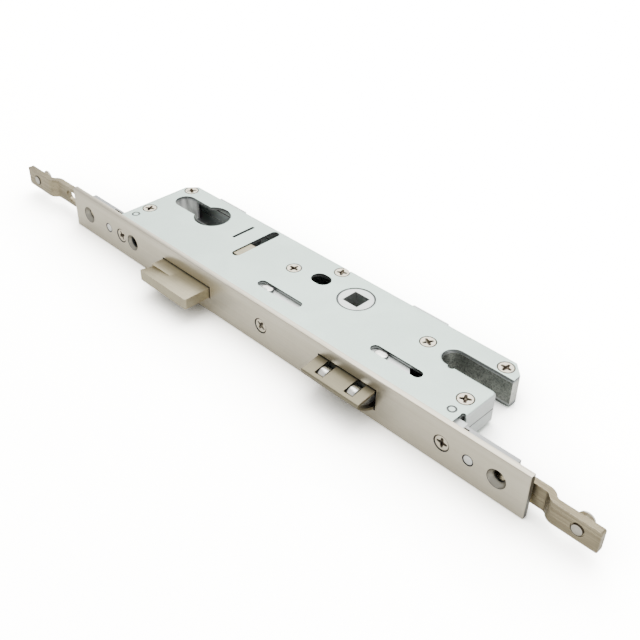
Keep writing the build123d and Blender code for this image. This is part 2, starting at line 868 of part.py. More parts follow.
def right_rod():
    web = right_rod_web()
    rod = rod_body(web[0], right_bend_x, right_tip_x)
    rod -= rod_slot((web[1], fixing_places[1] + right_rod_slot_margin))
    rod -= block(tenon_span(web), (rod_front - cut_over, rod_back + cut_over), (slide_bottom, rod_width))
    return rod - stud_hole(right_tip_x - stud_from_tip)


def stud_hole(x):
    front = rod_front - rod_thickness
    seat = post_y(x, 0, stud_head_radius + stud_seat_gap, (front - cut_over, front + stud_seat_depth))
    return seat + post_y(x, 0, stud_hole_radius, (front, rod_back))


def rod_stud(x):
    # A stud riveted through the rod: low head in a wider seat in front, thick body behind.
    front = rod_front - rod_thickness
    seat = front + stud_seat_depth
    head = post_y(x, 0, stud_head_radius, (front - stud_head_height, seat))
    head = chamfer(head.faces().sort_by(Axis.Y)[0].edges(), stud_head_height / 2)
    body = post_y(x, 0, stud_body_radius, (rod_front, rod_front + stud_body_length))
    body = chamfer(body.faces().sort_by(Axis.Y)[-1].edges(), stud_bevel)
    return head + post_y(x, 0, stud_hole_radius, (seat, rod_front)) + body


def drive_slide():
    web = left_rod_web()
    left = tenon_span(web)[0]
    right_tenon = tenon_span(right_rod_web())
    pad_centre = -rod_travel / 2
    pad = (pad_centre - drive_pad_half_width, pad_centre + drive_pad_half_width)
    pin_reach = drive_pin_radius + pin_gap
    slot_rear = pin_reach - drive_arm_radius * math.cos(math.radians(follower_half_turn))
    outline = Polygon(
        (left, rod_back),
        (tenon_span(web)[1] + tenon_width, rod_back),
        (tenon_span(web)[1] + tenon_width, slide_front_wide),
        (slide_notch_left, slide_front_wide),
        (slide_notch_left, slide_notch_rear),
        (slide_notch_right, slide_notch_rear),
        (slide_notch_right, slide_front_narrow),
        (slide_arm_left, slide_front_narrow),
        (slide_arm_left, rod_back),
        (right_tenon[1], rod_back),
        (right_tenon[1], slide_front_wide),
        (slide_right_shoulder, slide_rear),
        (pad[1], slide_rear),
        (pad[1], slot_rear + drive_pad_wall),
        (pad[0], slot_rear + drive_pad_wall),
        (pad[0], slide_rear),
        (left, slide_rear),
        align=None,
    )
    outline += rectangle(tenon_span(web), (rod_front, rod_back))
    outline += rectangle(right_tenon, (rod_front, rod_back))
    slot_span = (-drive_arm_radius - pin_reach, slot_rear)
    outline -= slot_y(pad_centre, slot_span, pin_reach)
    for x, y in ((first_guide_pin_x, first_guide_pin_y), (second_guide_pin_x, second_guide_pin_y)):
        outline -= Pos(x, y) * Circle(guide_pin_radius / 2)
    return plate(outline, (slide_bottom, slide_top))


def slide_guide_pins():
    pins = []
    reach = guide_pin_radius + guide_pin_run
    for x, y in ((first_guide_pin_x, first_guide_pin_y), (second_guide_pin_x, second_guide_pin_y)):
        head = slot_x((x - reach, x + reach), y, guide_pin_radius)
        pin = plate(head, (slide_top, half_case - guide_pin_sink))
        pins.append(pin + post_z(x, y, guide_pin_radius / 2, (slide_bottom, slide_top)))
    return Compound(children=pins)


def follower():
    hub = post_z(0, 0, hub_radius, (-slide_top, slide_top))
    reach = half_case - follower_boss_sink
    hub += post_z(0, 0, follower_boss_radius, (-reach, reach))
    rest_angle = -quarter - follower_half_turn
    arm_end = polar((0, 0), drive_arm_radius, rest_angle)
    arm_top = slide_bottom - slide_gap
    arm = bar((0, 0), arm_end, drive_arm_end_radius) - Pos(*arm_end) * Circle(drive_pin_radius / 2)
    hub += plate(arm, (arm_top - drive_arm_thickness, arm_top))
    lobe_angle = lobe_angle_before_latch_lever - 2 * follower_half_turn
    lobe_end = polar((0, 0), lobe_reach, lobe_angle)
    hub += plate(bar((0, 0), lobe_end, lobe_radius), (-slide_top, lobe_thickness - slide_top))
    return hub - Box(spindle_square, spindle_square, case_thickness)


def drive_pin():
    place = polar((0, 0), drive_arm_radius, -quarter - follower_half_turn)
    arm_top = slide_bottom - slide_gap
    pin = post_z(*place, drive_pin_radius, (arm_top, slide_top - drive_pin_sink))
    return pin + post_z(*place, drive_pin_radius / 2, (arm_top - drive_arm_thickness, arm_top))


# Latch

def latch_profile(inset):
    # Outline in Y and Z: flat top, nose, and a bulged slope back to the bottom edge.
    rear = case_front + latch_shell_inside
    top = latch_half_height - inset
    bottom = inset - latch_half_height
    nose = faceplate_front - latch_throw + inset
    nose_top = latch_nose_high - inset
    nose_bottom = min(latch_nose_low, nose_top - latch_nose_round)
    slope_end = faceplate_front + inset / 2
    middle_y = (nose + slope_end) / 2 - latch_bulge / 2
    middle_z = (nose_bottom + bottom) / 2 - latch_bulge / 2
    with BuildSketch(Plane.YZ) as profile:
        with BuildLine():
            Polyline((rear, bottom), (rear, top), (faceplate_front, top), (nose, nose_top),
                     (nose, nose_bottom))
            ThreePointArc((nose, nose_bottom), (middle_y, middle_z), (slope_end, bottom))
            Line((slope_end, bottom), (rear, bottom))
        make_face()
    return profile.sketch


def latch_prism(inset, x):
    return extrude(Pos(x[0], 0, 0) * latch_profile(inset), amount=length(x), dir=(1, 0, 0))


def roller_window(x):
    # Room for one roller, straight through the latch from top to bottom.
    y = (roller_y - window_front_gap, roller_y + window_rear_gap)
    return block((x - window_width / 2, x + window_width / 2), y, (-case_thickness, case_thickness))


def latch_shell():
    body = latch_prism(0, (latch_left, latch_right))
    nose = [edge for edge in body.edges().filter_by(Axis.X)
            if abs(edge.center().Y - faceplate_front + latch_throw) < touch]
    body = fillet(nose, latch_nose_round)
    body -= latch_prism(latch_sheet, (latch_left - cut_over, latch_right + cut_over))
    rear = case_front + latch_shell_inside
    body -= block((latch_left - cut_over, latch_right + cut_over), (rear - latch_sheet, rear + cut_over),
                  (latch_sheet - latch_half_height, latch_half_height - latch_sheet))
    for x in roller_places:
        body -= roller_window(x)
    return body


def latch_carrier():
    x = (latch_left + carrier_end_inset, latch_right - carrier_end_inset)
    head = latch_prism(latch_sheet, x)
    rear = case_front + latch_shell_inside
    inner = latch_half_height - latch_sheet
    head += block(x, (case_front - latch_sheet, rear), (-inner, inner))
    head += block(x, (rear, carrier_rear), (carrier_bottom, carrier_top))
    head += post_y(latch_centre_x, stem_z, stem_radius, (carrier_rear, stem_end_y))
    for place in roller_places:
        head -= roller_window(place)
    head -= post_x(roller_y, roller_z, axle_radius, x)
    return head - post_z(latch_centre_x, stem_pin_y, stem_pin_radius, (-inner_top, inner_top))


def latch_axle():
    x = (latch_left + carrier_end_inset, latch_right - carrier_end_inset)
    return post_x(roller_y, roller_z, axle_radius, x)


def latch_roller(x):
    half = roller_width / 2
    body = post_x(roller_y, roller_z, roller_radius, (x - half, x + half))
    body = chamfer(body.edges().filter_by(GeomType.CIRCLE), roller_bevel)
    return body - post_x(roller_y, roller_z, axle_radius + shaft_gap, (x - roller_width, x + roller_width))


def stem_pin():
    return post_z(latch_centre_x, stem_pin_y, stem_pin_radius, (lever_bottom, stem_z + stem_radius))


def latch_bracket():
    half = bracket_half_width
    x = (latch_centre_x - half, latch_centre_x + half)
    body = block(x, (bracket_front, bracket_front + bracket_wall), (-inner_top, bracket_top))
    foot_top = bracket_foot_thickness - inner_top
    body += block(x, (bracket_front - bracket_foot, bracket_front), (-inner_top, foot_top))
    return body - post_y(latch_centre_x, stem_z, stem_radius + shaft_gap,
                         (bracket_front - cut_over, bracket_front + bracket_wall + cut_over))


def helix_arcs(radius, pitch, turns):
    # Arcs along a helix about Z from the origin up: each quarter turn is two arcs that share a tangent.
    rise = pitch / (2 * math.pi * radius)
    arcs = []
    for step in range(turns * quarters):
        ends = []
        for k in (step, step + 1):
            angle = math.radians(k * quarter)
            point = Vector(radius * math.cos(angle), radius * math.sin(angle), pitch * k / quarters)
            ends.append((point, Vector(-math.sin(angle), math.cos(angle), rise).normalized()))
        (start, start_way), (end, end_way) = ends
        chord = end - start
        ways = start_way + end_way
        spread = 2 * (1 - start_way.dot(end_way))
        reach = (math.sqrt(chord.dot(ways) ** 2 + spread * chord.dot(chord)) - chord.dot(ways)) / spread
        joint = (start + end + (start_way - end_way) * reach) / 2
        arcs.append(TangentArc(start, joint, tangent=start_way))
        arcs.append(TangentArc(end, joint, tangent=end_way * -1))
    return arcs


def latch_spring():
    # One unbroken wire round the latch stem, from the carrier to the bracket.
    run = bracket_front - carrier_rear - 2 * spring_wire_radius
    pitch = run / spring_turns
    path = Wire(helix_arcs(spring_mean_radius, pitch, spring_turns))
    start = Plane(origin=path @ 0, z_dir=path % 0)
    coil = sweep(start * Circle(spring_wire_radius), path=path)
    print("latch spring: least gap between turns", round(pitch - 2 * spring_wire_radius, shown_digits))
    return Pos(latch_centre_x, carrier_rear + spring_wire_radius, stem_z) * Rot(-quarter, 0, 0) * coil


def latch_lever():
    pivot = (latch_lever_pivot_x, latch_lever_pivot_y)
    pin = polar(pivot, latch_lever_arm, -latch_lever_half_turn)
    tail = polar(pivot, latch_lever_tail, latch_lever_tail_angle)
    gap = stem_pin_radius + pin_gap
    slot_near = polar(pivot, latch_lever_arm, -latch_lever_half_turn)
    slot_far = (latch_centre_x, stem_pin_y)
    outline = bar(pivot, slot_far, gap + latch_lever_wall) + bar(pivot, tail, latch_lever_tail_half_width)
    outline += Pos(*pivot) * Circle(lever_boss_radius)
    outline -= Pos(*pivot) * Circle(throw_pivot_radius + shaft_gap)
    outline -= bar(slot_near, slot_far, gap)
    return plate(outline, (lever_bottom, lever_top))


nodes = {
    "case_cover": case_cover,
    "case_base": case_base,
    "faceplate": faceplate,
    "cover_screws": cover_screws,
    "cover_posts": cover_posts,
    "faceplate_screws": faceplate_screws,
    "left_fixing_lug": left_fixing_lug,
    "middle_fixing_lug": middle_fixing_lug,
    "right_fixing_lug": right_fixing_lug,
    "left_rod_guide": left_rod_guide,
    "right_rod_guide": right_rod_guide,
    "guide_rivets": guide_rivets,
    "arm_block": arm_block,
    "cylinder_saddle": cylinder_saddle,
    "lever_pivots": lever_pivots,
    "leaf_spring": leaf_spring,
    "latch_bracket": latch_bracket,
    "latch_spring": latch_spring,
    "deadbolt": deadbolt,
    "deadbolt_lever": deadbolt_lever,
    "deadbolt_lever_pin": deadbolt_lever_pin,
    "follower": follower,
    "drive_pin": drive_pin,
    "drive_slide": drive_slide,
    "slide_guide_pins": slide_guide_pins,
    "left_rod": left_rod,
    "left_rod_stud": lambda: rod_stud(left_tip_x + stud_from_tip),
    "right_rod": right_rod,
    "right_rod_stud": lambda: rod_stud(right_tip_x - stud_from_tip),
    "latch_shell": latch_shell,
    "latch_carrier": latch_carrier,
    "latch_axle": latch_axle,
    "left_latch_roller": lambda: latch_roller(roller_places[0]),
    "right_latch_roller": lambda: latch_roller(roller_places[1]),
    "stem_pin": stem_pin,
    "latch_lever": latch_lever,
}

os.makedirs("parts", exist_ok=True)
for name, make in nodes.items():
    export_step(make(), "parts/" + name + ".step")

print("follower turns", round(2 * follower_half_turn, shown_digits), "degrees")
print("deadbolt lever turns", round(2 * throw_half_turn, shown_digits), "degrees about",
      throw_pivot_x, round(throw_pivot_y, shown_digits))
print("latch lever turns", round(2 * latch_lever_half_turn, shown_digits), "degrees about",
      latch_lever_pivot_x, latch_lever_pivot_y)
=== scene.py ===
import math

import bmesh
import bpy
import numpy as np
from bpy.props import FloatProperty, FloatVectorProperty, IntProperty, PointerProperty
from mathutils import Euler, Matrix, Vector


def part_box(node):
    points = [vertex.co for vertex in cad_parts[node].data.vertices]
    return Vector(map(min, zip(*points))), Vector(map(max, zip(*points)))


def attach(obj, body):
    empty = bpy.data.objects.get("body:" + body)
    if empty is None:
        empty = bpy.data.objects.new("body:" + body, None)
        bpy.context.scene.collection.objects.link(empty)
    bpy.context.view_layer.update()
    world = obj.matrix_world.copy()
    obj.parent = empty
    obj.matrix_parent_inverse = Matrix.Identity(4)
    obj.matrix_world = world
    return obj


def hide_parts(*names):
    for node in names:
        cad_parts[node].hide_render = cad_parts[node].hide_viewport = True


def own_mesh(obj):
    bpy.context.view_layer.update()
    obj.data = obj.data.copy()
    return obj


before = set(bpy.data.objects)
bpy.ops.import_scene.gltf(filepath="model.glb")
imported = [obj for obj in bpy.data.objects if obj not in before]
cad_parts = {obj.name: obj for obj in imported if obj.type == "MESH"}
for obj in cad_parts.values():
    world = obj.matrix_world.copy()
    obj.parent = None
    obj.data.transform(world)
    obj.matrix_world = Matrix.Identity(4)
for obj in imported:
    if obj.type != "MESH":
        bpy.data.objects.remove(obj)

bl_info = {
    "name": "Multipoint door lock",
    "version": (1, 0, 0),
    "blender": (4, 5, 0),
    "location": "View3D > Sidebar > Lock",
    "description": "Dresses the frame of a multipoint door lock with its surfaces, finishes and stage",
    "category": "Add Mesh",
}

MM = 0.001
FULL_TURN = 2 * math.pi
QUARTER_TURN = math.pi / 2
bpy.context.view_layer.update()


# Settings

def length(name, description, millimetres):
    return FloatProperty(name=name, description=description, default=millimetres * MM, subtype="DISTANCE",
                         unit="LENGTH", precision=5)


def colour(name, description, default):
    return FloatVectorProperty(name=name, description=description, default=default, subtype="COLOR", size=3,
                               min=0.0, max=1.0)


def number(name, description, default):
    return FloatProperty(name=name, description=description, default=default)


def angle(name, description, degrees):
    return FloatProperty(name=name, description=description, default=math.radians(degrees), subtype="ANGLE",
                         unit="ROTATION")


class LockColours(bpy.types.PropertyGroup):
    """Colours of the lock's finishes, as linear values."""

    zinc_plate: colour("Zinc plate", "Bluish plating on the outer faces of the case", (0.75, 0.90, 0.825))
    zinc_inner: colour("Zinc plate, inner", "Plating on the edges and inner faces", (0.68, 0.715, 0.705))
    zinc_shade: colour("Zinc plate, dull", "Duller clouds in that plating", (0.65, 0.79, 0.72))
    zinc_worn: colour("Zinc plate, worn", "Bare zinc at worn edges", (0.95, 0.95, 0.94))
    # painted shade: this dark colour fills shaded holes, inner faces, gap rings and roller ends, and the torn
    # part of punched edges
    zinc_cut: colour("Zinc sheet, cut", "Torn part of the sheet's punched edges", (0.12, 0.13, 0.13))
    zinc_bright: colour("Zinc plate, bright", "Glossier plating on the inner pieces", (0.88, 0.92, 0.90))
    stainless: colour("Stainless steel", "Brushed faceplate", (0.68, 0.635, 0.52))
    stainless_streak: colour("Stainless streaks", "Darker grain in the faceplate", (0.58, 0.53, 0.42))
    nickel: colour("Nickel plate", "Deadbolt", (0.45, 0.41, 0.29))
    nickel_shade: colour("Nickel plate, dull", "Duller grain in the deadbolt", (0.37, 0.33, 0.23))
    # painted shade: the latch's two nickel colours are darker copies of the deadbolt's
    latch: colour("Latch plate", "Nickel plate of the latch", (0.215, 0.195, 0.135))
    latch_shade: colour("Latch plate, dull", "Duller grain in the latch", (0.19, 0.17, 0.12))
    rod: colour("Rod steel", "Drawn steel of the drive rods", (0.39, 0.34, 0.23))
    rod_shade: colour("Rod steel, dark", "Streaks along the drive rods", (0.22, 0.185, 0.12))
    casting: colour("Zinc casting", "Raw die-cast pieces", (0.27, 0.285, 0.26))
    casting_shade: colour("Zinc casting, dark", "Dark mottling of the casting", (0.09, 0.10, 0.09))
    # painted light: this colour brightens the castings' right end faces, and it also colours their worn edges
    casting_worn_and_lit: colour("Zinc casting, trimmed", "Trimmed end of the case arm", (0.74, 0.75, 0.70))
    saddle: colour("Saddle", "Plated walls of the cylinder's hole", (0.86, 0.88, 0.87))
    saddle_shade: colour("Saddle, dark", "Duller clouds in those walls", (0.74, 0.76, 0.75))
    screw: colour("Screw", "Nickel-plated screw heads", (0.80, 0.74, 0.60))
    # painted shade: this colour darkens the screws' cross recesses and the gap round their heads, and the
    # studs' rings and front heads
    screw_recess: colour("Screw recess", "Tarnish in the recesses", (0.045, 0.032, 0.022))
    bright: colour("Bright steel", "Polished pins and rollers", (0.93, 0.90, 0.83))
    stud: colour("Stud", "Satin studs of the rods", (0.90, 0.88, 0.80))
    rivet: colour("Rivet", "Satin rivets in the faceplate", (0.90, 0.89, 0.86))
    spring: colour("Spring steel", "Wire and leaf springs", (0.42, 0.43, 0.43))


class ScrewSizes(bpy.types.PropertyGroup):
    """Sizes of the countersunk screws."""

    rim: length("Rim", "Radius of the rounding round a head", 0.25)
    gap: length("Gap", "Gap between a head and its countersink", 0.14)
    # painted gap shadow: this dark ring stands for shade in the gap round a screw head
    ring: length("Ring", "Width of the tarnished ring round a head", 0.45)
    recess_reach: length("Recess reach", "Length of one arm of the cross", 2.3)
    recess_width: length("Recess width", "Width of one arm at its root", 1.75)
    recess_depth: length("Recess depth", "Depth of the cross at its middle", 1.5)
    tick_reach: length("Tick reach", "Length of the small marks between the arms", 1.7)
    tick_depth: length("Tick depth", "Depth of the small marks", 0.12)
    pitch: length("Pitch", "Distance between two thread crests", 0.7)
    thread_depth: length("Thread depth", "Depth of the thread", 0.28)
    cover_shank: number("Cover shank", "Shank of a cover screw as a share of its head", 0.43)
    plate_shank: number("Faceplate shank", "Shank of a faceplate screw as a share of its head", 0.57)
    around: IntProperty(name="Steps round", description="Columns of the grid", default=96)


class RunningSizes(bpy.types.PropertyGroup):
    """Sizes of the turned pins, studs, rollers and the latch spring."""

    edge: length("Edge", "Rounding of turned edges", 0.3)
    # painted gap shadow: this dark ring stands for shade in the gap round pins, rivets and studs
    dark_ring: length("Dark ring", "Width of the tarnished ring round pins, rivets and studs", 0.34)
    pin_dome: length("Pin dome", "Height of the crown on the guide pins", 0.35)
    stud_dome: length("Stud dome", "Height of the crown on a stud's head", 0.3)
    stud_head: number("Stud head", "Front head of a stud as a share of its body", 0.70)
    stud_neck: number("Stud neck", "Neck of a stud as a share of its body", 0.59)
    # painted shade on the studs' front heads
    head_tone: number("Head tone", "How dull the front heads of the studs are", 0.45)
    rivet_dome: length("Rivet dome", "Height of the crown on the rivets", 0.12)
    rivet_gap: length("Rivet gap", "Gap between a rivet and the faceplate", 0.22)
    rivet_sink: length("Rivet sink", "How far a rivet's crown lies under the faceplate's front", 0.02)
    rivet_tail: length("Rivet tail", "Length of a rivet's thin end in the rod guide", 1.2)
    rivet_neck: number("Rivet neck", "That thin end as a share of the rivet's radius", 0.65)
    roller_crown: length("Roller crown", "Bulge of a roller between its ends", 0.06)
    roller_play: length("Roller play", "Gap between a roller and its axle", 0.08)
    # painted shade at the roller ends
    roller_shade: number("Roller shade", "How dark a roller is at its ends", 0.75)
    spring_wire: length("Spring wire", "Radius of the latch spring's wire", 0.35)
    spring_turns: number("Spring turns", "Turns of the latch spring", 7.0)
    around: IntProperty(name="Steps round", description="Columns of the grid", default=64)


class EdgeSizes(bpy.types.PropertyGroup):
    """Rounding of the edges of sheet, bar and casting, and the dark bands along some of them: painted shade,
    torn steel and the seam.
    """

    sheet: length("Sheet", "Rolled edge of punched sheet", 0.16)
    faceplate: length("Faceplate", "Broken edge of the faceplate", 0.14)
    bolt: length("Bolt", "Broken edges of the deadbolt and latch", 0.14)
    rod: length("Rod", "Rounded corners of the drive rods", 0.22)
    casting: length("Casting", "Rounded edges of the castings", 0.2)
    thin: length("Lugs and follower", "Rounded edges of the lugs and the follower", 0.1)
    skin: length("Skin", "Depth under the outer face that has the bluish plating", 0.2)
    # painted shade: the dark band on punched walls is torn steel and painted shade
    torn_and_shade: length("Torn band", "Height of the torn band on punched walls", 0.9)
    seam: length("Seam", "Half the width of the dark line between the two shells", 0.32)
    # painted gap shadow round the pegs and the follower
    dark_rim: length("Dark rim", "Width of the dark ring round the pegs and the follower", 0.6)
    follower: length("Follower radius", "Radius of the follower's boss in the cover", 8.0)
    peg: length("Peg radius", "Radius of the lugs' pegs in the cover", 1.75)


class StageSettings(bpy.types.PropertyGroup):
    """Camera, floor and lights."""

    camera_place: FloatVectorProperty(name="Camera place", description="Where the camera stands",
                                      unit="LENGTH", subtype="TRANSLATION",
                                      default=(0.19940, -0.22739, 0.22055))
    camera_azimuth: angle("Camera azimuth", "Turn of the camera from looking along +Y", 44.023)
    camera_elevation: angle("Camera elevation", "Angle that the camera looks down by", 36.705)
    camera_roll: angle("Camera roll", "Turn of the picture", 1.420)
    camera_lens: number("Lens", "Focal length on a 36 mm sensor, in millimetres", 50.665)
    floor_reach: length("Floor reach", "Radius of the floor", 6000)
    floor_colour: colour("Floor", "Pale floor", (0.86, 0.86, 0.84))
    floor_lift: number("Floor lift", "How much brighter the camera sees the floor", 10.0)
    # painted contact shadow in the floor's colour
    contact_reach: length("Contact reach", "How far the contact shadow reaches", 40)
    contact_depth: number("Contact depth", "How dark the contact shadow is", 1.6)
    sky_colour: colour("Surroundings", "Soft white surroundings", (1.0, 0.995, 0.98))
    sky_strength: number("Surroundings strength", "Light from all round", 1.0)
    overhead_power: number("Overhead power", "Power of the overhead softbox, in watts", 9.0)
    back_power: number("Back power", "Power of the softbox behind the lock, in watts", 4.0)
    side_power: number("Side power", "Power of the softbox at the right, in watts", 3.0)


def settings(name):
    return getattr(bpy.context.scene, "lock_" + name)


# Shader helpers

class Shader:
    """One node tree under construction: adds nodes, sets their sockets and links them."""

    def __init__(self, tree):
        self.tree = tree

    def add(self, kind, sockets=None, **values):
        made = self.tree.nodes.new(kind)
        for key, value in values.items():
            setattr(made, key, value)
        for key, value in (sockets or {}).items():
            self.put(made.inputs[key], value)
        return made

    def put(self, socket, value):
        """Links a socket to another one, or sets it to a value or to the colour of that name."""
        if isinstance(value, bpy.types.NodeSocket):
            self.tree.links.new(value, socket)
        elif isinstance(value, str):
            socket.default_value = (*getattr(settings("colours"), value), 1.0)
        else:
            socket.default_value = value

    def math(self, operation, first, second=0.0):
        return self.add("ShaderNodeMath", {0: first, 1: second}, operation=operation).outputs[0]

    def times(self, first, second):
        return self.math("MULTIPLY", first, second)

    def weigh(self, first, first_weight, second, second_weight):
        return self.math("ADD", self.times(first, first_weight), self.times(second, second_weight))

    def spread(self, value, low, high, out_low=0.0, out_high=1.0):
        """Carries a value smoothly from one range to another."""
        sockets = {"Value": value, "From Min": low, "From Max": high, "To Min": out_low, "To Max": out_high}
        return self.add("ShaderNodeMapRange", sockets, interpolation_type="SMOOTHSTEP").outputs["Result"]

    def scaled(self, vector, factors):
        sockets = {0: vector, 1: factors}
        return self.add("ShaderNodeVectorMath", sockets, operation="MULTIPLY").outputs["Vector"]

    def noise(self, vector, scale, detail=3.0, roughness=0.55, distortion=0.0):
        sockets = {"Vector": vector, "Scale": scale, "Detail": detail, "Roughness": roughness,
                   "Distortion": distortion}
        return self.add("ShaderNodeTexNoise", sockets).outputs["Fac"]

    def mix(self, share, first, second):
        made = self.add("ShaderNodeMix", data_type="RGBA")
        for place, value in ((0, share), (6, first), (7, second)):
            self.put(made.inputs[place], value)
        return made.outputs[2]

    def mark(self, name):
        return self.add("ShaderNodeAttribute", attribute_name=name).outputs["Fac"]

    def group(self, name, vector, **values):
        sockets = {"Vector": vector, **{key.replace("_", " "): value for key, value in values.items()}}
        return self.add("ShaderNodeGroup", sockets, node_tree=bpy.data.node_groups[name]).outputs


def new_group(name, values, *outputs):
    """A shader group that takes a vector and these values, and puts out values of the other names."""
    tree = bpy.data.node_groups.new(name, "ShaderNodeTree")
    tree.interface.new_socket("Vector", in_out="INPUT", socket_type="NodeSocketVector")
    for label, default in values.items():
        socket = tree.interface.new_socket(label, in_out="INPUT", socket_type="NodeSocketFloat")
        socket.default_value = default
    for label in outputs:
        tree.interface.new_socket(label, in_out="OUTPUT", socket_type="NodeSocketFloat")
    shader = Shader(tree)
    return shader, shader.add("NodeGroupInput").outputs, shader.add("NodeGroupOutput").inputs


def build_grain_group():
    """Fine streaks along X: noise that is stretched along the grain, in two finenesses."""
    shader, given, out = new_group("Lock grain", {"Length": 0.03, "Width": 0.0002}, "Streaks", "Height")
    along = shader.math("DIVIDE", 1.0, given["Length"])
    across = shader.math("DIVIDE", 1.0, given["Width"])
    stretch = shader.add("ShaderNodeCombineXYZ", {"X": along, "Y": across, "Z": across}).outputs["Vector"]
    vector = shader.scaled(given["Vector"], stretch)
    fine = shader.noise(vector, scale=1.0, detail=4.0, roughness=0.6)
    broad = shader.noise(vector, scale=0.22, roughness=0.5)
    shader.put(out["Streaks"], shader.spread(shader.weigh(fine, 0.6, broad, 0.4), 0.36, 0.64))
    shader.put(out["Height"], fine)


def build_cloud_group():
    """Soft clouds of tone and a fine speckle, both from noise."""
    shader, given, out = new_group("Lock clouds", {"Size": 0.02, "Speckle Size": 0.0004}, "Clouds", "Speckle")
    cloud_scale = shader.math("DIVIDE", 1.0, given["Size"])
    speckle_scale = shader.math("DIVIDE", 1.0, given["Speckle Size"])
    clouds = shader.noise(given["Vector"], cloud_scale, detail=4.0, distortion=0.6)
    shader.put(out["Clouds"], shader.spread(clouds, 0.34, 0.66))
    shader.put(out["Speckle"], shader.noise(given["Vector"], speckle_scale, roughness=0.6))


def build_scratch_group():
    """Sparse handling scratches: thin bands of stretched, turned noise that show only in some patches."""
    shader, given, out = new_group("Lock scratches", {"Size": 0.01}, "Scratches")
    scale = shader.math("DIVIDE", 1.0, given["Size"])
    stretch = (1.0, 24.0, 24.0)
    marks = 0.0
    for turn in (0.5, 1.9):
        turned = shader.add("ShaderNodeMapping", {"Vector": given["Vector"], "Rotation": (0.3, 0.2, turn)})
        stretched = shader.scaled(turned.outputs["Vector"], stretch)
        band = shader.noise(stretched, scale, detail=2.0, roughness=0.4, distortion=0.15)
        marks = shader.math("MAXIMUM", marks, shader.spread(band, 0.69, 0.73))
    patches = shader.spread(shader.noise(given["Vector"], shader.times(scale, 0.4)), 0.5, 0.62)
    shader.put(out["Scratches"], shader.times(marks, patches))


def build_edge_group():
    """Worn edges: where the rounded normal leaves the true one, broken up by noise."""
    shader, given, out = new_group("Lock edge wear", {"Radius": 0.0003}, "Edges")
    rounded = shader.add("ShaderNodeBevel", {"Radius": given["Radius"]}, samples=4).outputs["Normal"]
    true = shader.add("ShaderNodeNewGeometry").outputs["Normal"]
    dot = shader.add("ShaderNodeVectorMath", {0: rounded, 1: true}, operation="DOT_PRODUCT").outputs["Value"]
    edge = shader.spread(dot, 0.995, 0.9)
    breaks = shader.spread(shader.noise(given["Vector"], scale=900.0), 0.35, 0.6)
    shader.put(out["Edges"], shader.times(edge, breaks))


def build_turning_group():
    """Fine turned rings: noise along the profile only, read from the piece's own map."""
    shader, given, out = new_group("Lock turning", {"Fineness": 9.0}, "Rings")
    stretch = shader.add("ShaderNodeCombineXYZ", {"X": 0.4, "Y": given["Fineness"]}).outputs["Vector"]
    shader.put(out["Rings"], shader.noise(shader.scaled(given["Vector"], stretch), scale=1.0, detail=2.0))


NOISE_RANGE = (0.3, 0.7)  # where most values of fine noise lie


def begin_material(name, metallic=1.0):
    made = bpy.data.materials.new(name)
    made.use_nodes = True
    made.node_tree.nodes.clear()
    shader = Shader(made.node_tree)
    surface = shader.add("ShaderNodeBsdfPrincipled", {"Metallic": metallic})
    out = shader.add("ShaderNodeOutputMaterial")
    shader.put(out.inputs["Surface"], surface.outputs["BSDF"])
    place = shader.add("ShaderNodeTexCoord").outputs["Object"]
    return made, shader, surface, place


def wear_edges(shader, place, base, worn, share, radius=0.0003):
    """The base colour with worn edges of another colour."""
    edges = shader.group("Lock edge wear", place, Radius=radius)["Edges"]
    return shader.mix(shader.times(edges, share), base, worn)


def finish_surface(shader, surface, base, rough, height, strength, distance):
    """Links the base colour and the roughness, and a bump of that height."""
    sockets = {"Height": height, "Strength": strength, "Distance": distance}
    bump = shader.add("ShaderNodeBump", sockets).outputs["Normal"]
    for name, value in (("Base Color", base), ("Roughness", rough), ("Normal", bump)):
        shader.put(surface.inputs[name], value)


# Finishes

PUNCHED = 1.01  # the mark of a punched wall is less than this, that of a face with deeper painted shade more


def plated_sheet(name, plate, shade, inner, rough, seamed=False):
    """Satin zinc plating: soft clouds, a fine speckle, a few handling scratches, and torn punched edges with
    painted shade. The face mark is 1 on punched walls, which are torn and painted darker next to the outer
    face, and more on faces with deeper painted shade.
    A seamed finish has a dark line at mid-thickness, where the two shells meet."""
    made, shader, surface, place = begin_material(name)
    edges = settings("edges")
    clouds = shader.group("Lock clouds", place, Size=0.018, Speckle_Size=0.00035)
    scratches = shader.group("Lock scratches", place, Size=0.012)["Scratches"]
    height = shader.math("ABSOLUTE", shader.add("ShaderNodeSeparateXYZ", {0: place}).outputs["Z"])
    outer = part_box("case_cover")[1].z
    tone = shader.weigh(clouds["Clouds"], 0.45, shader.spread(clouds["Speckle"], *NOISE_RANGE), 0.3)
    base = shader.mix(tone, plate, shade)
    base = shader.mix(shader.spread(height, outer - edges.skin, outer - edges.skin / 2), inner, base)
    base = wear_edges(shader, place, base, "zinc_worn", 0.2)
    ragged = shader.math("ADD", height, shader.times(clouds["Speckle"], edges.torn_and_shade / 3))
    torn_and_shade = shader.spread(ragged, outer - edges.torn_and_shade, outer - edges.skin, 0.45, 1.0)
    mark = shader.mark("shaded")
    punched = shader.times(shader.math("LESS_THAN", mark, PUNCHED), mark)
    # painted shade: punched walls darken towards the outer face, and faces with a higher mark darken fully
    dark = shader.math("MAXIMUM", shader.times(punched, torn_and_shade), shader.math("SUBTRACT", mark, 1.0))
    if seamed:
        dark = shader.math("MAXIMUM", dark, shader.spread(height, edges.seam, edges.seam / 2))
    even = shader.spread(clouds["Speckle"], *NOISE_RANGE, rough, rough + 0.1)
    gloss = shader.math("SUBTRACT", even, shader.times(scratches, 0.12))
    base = shader.mix(dark, base, "zinc_cut")
    finish_surface(shader, surface, base, gloss, clouds["Speckle"], 0.12, 4e-5)
    return made


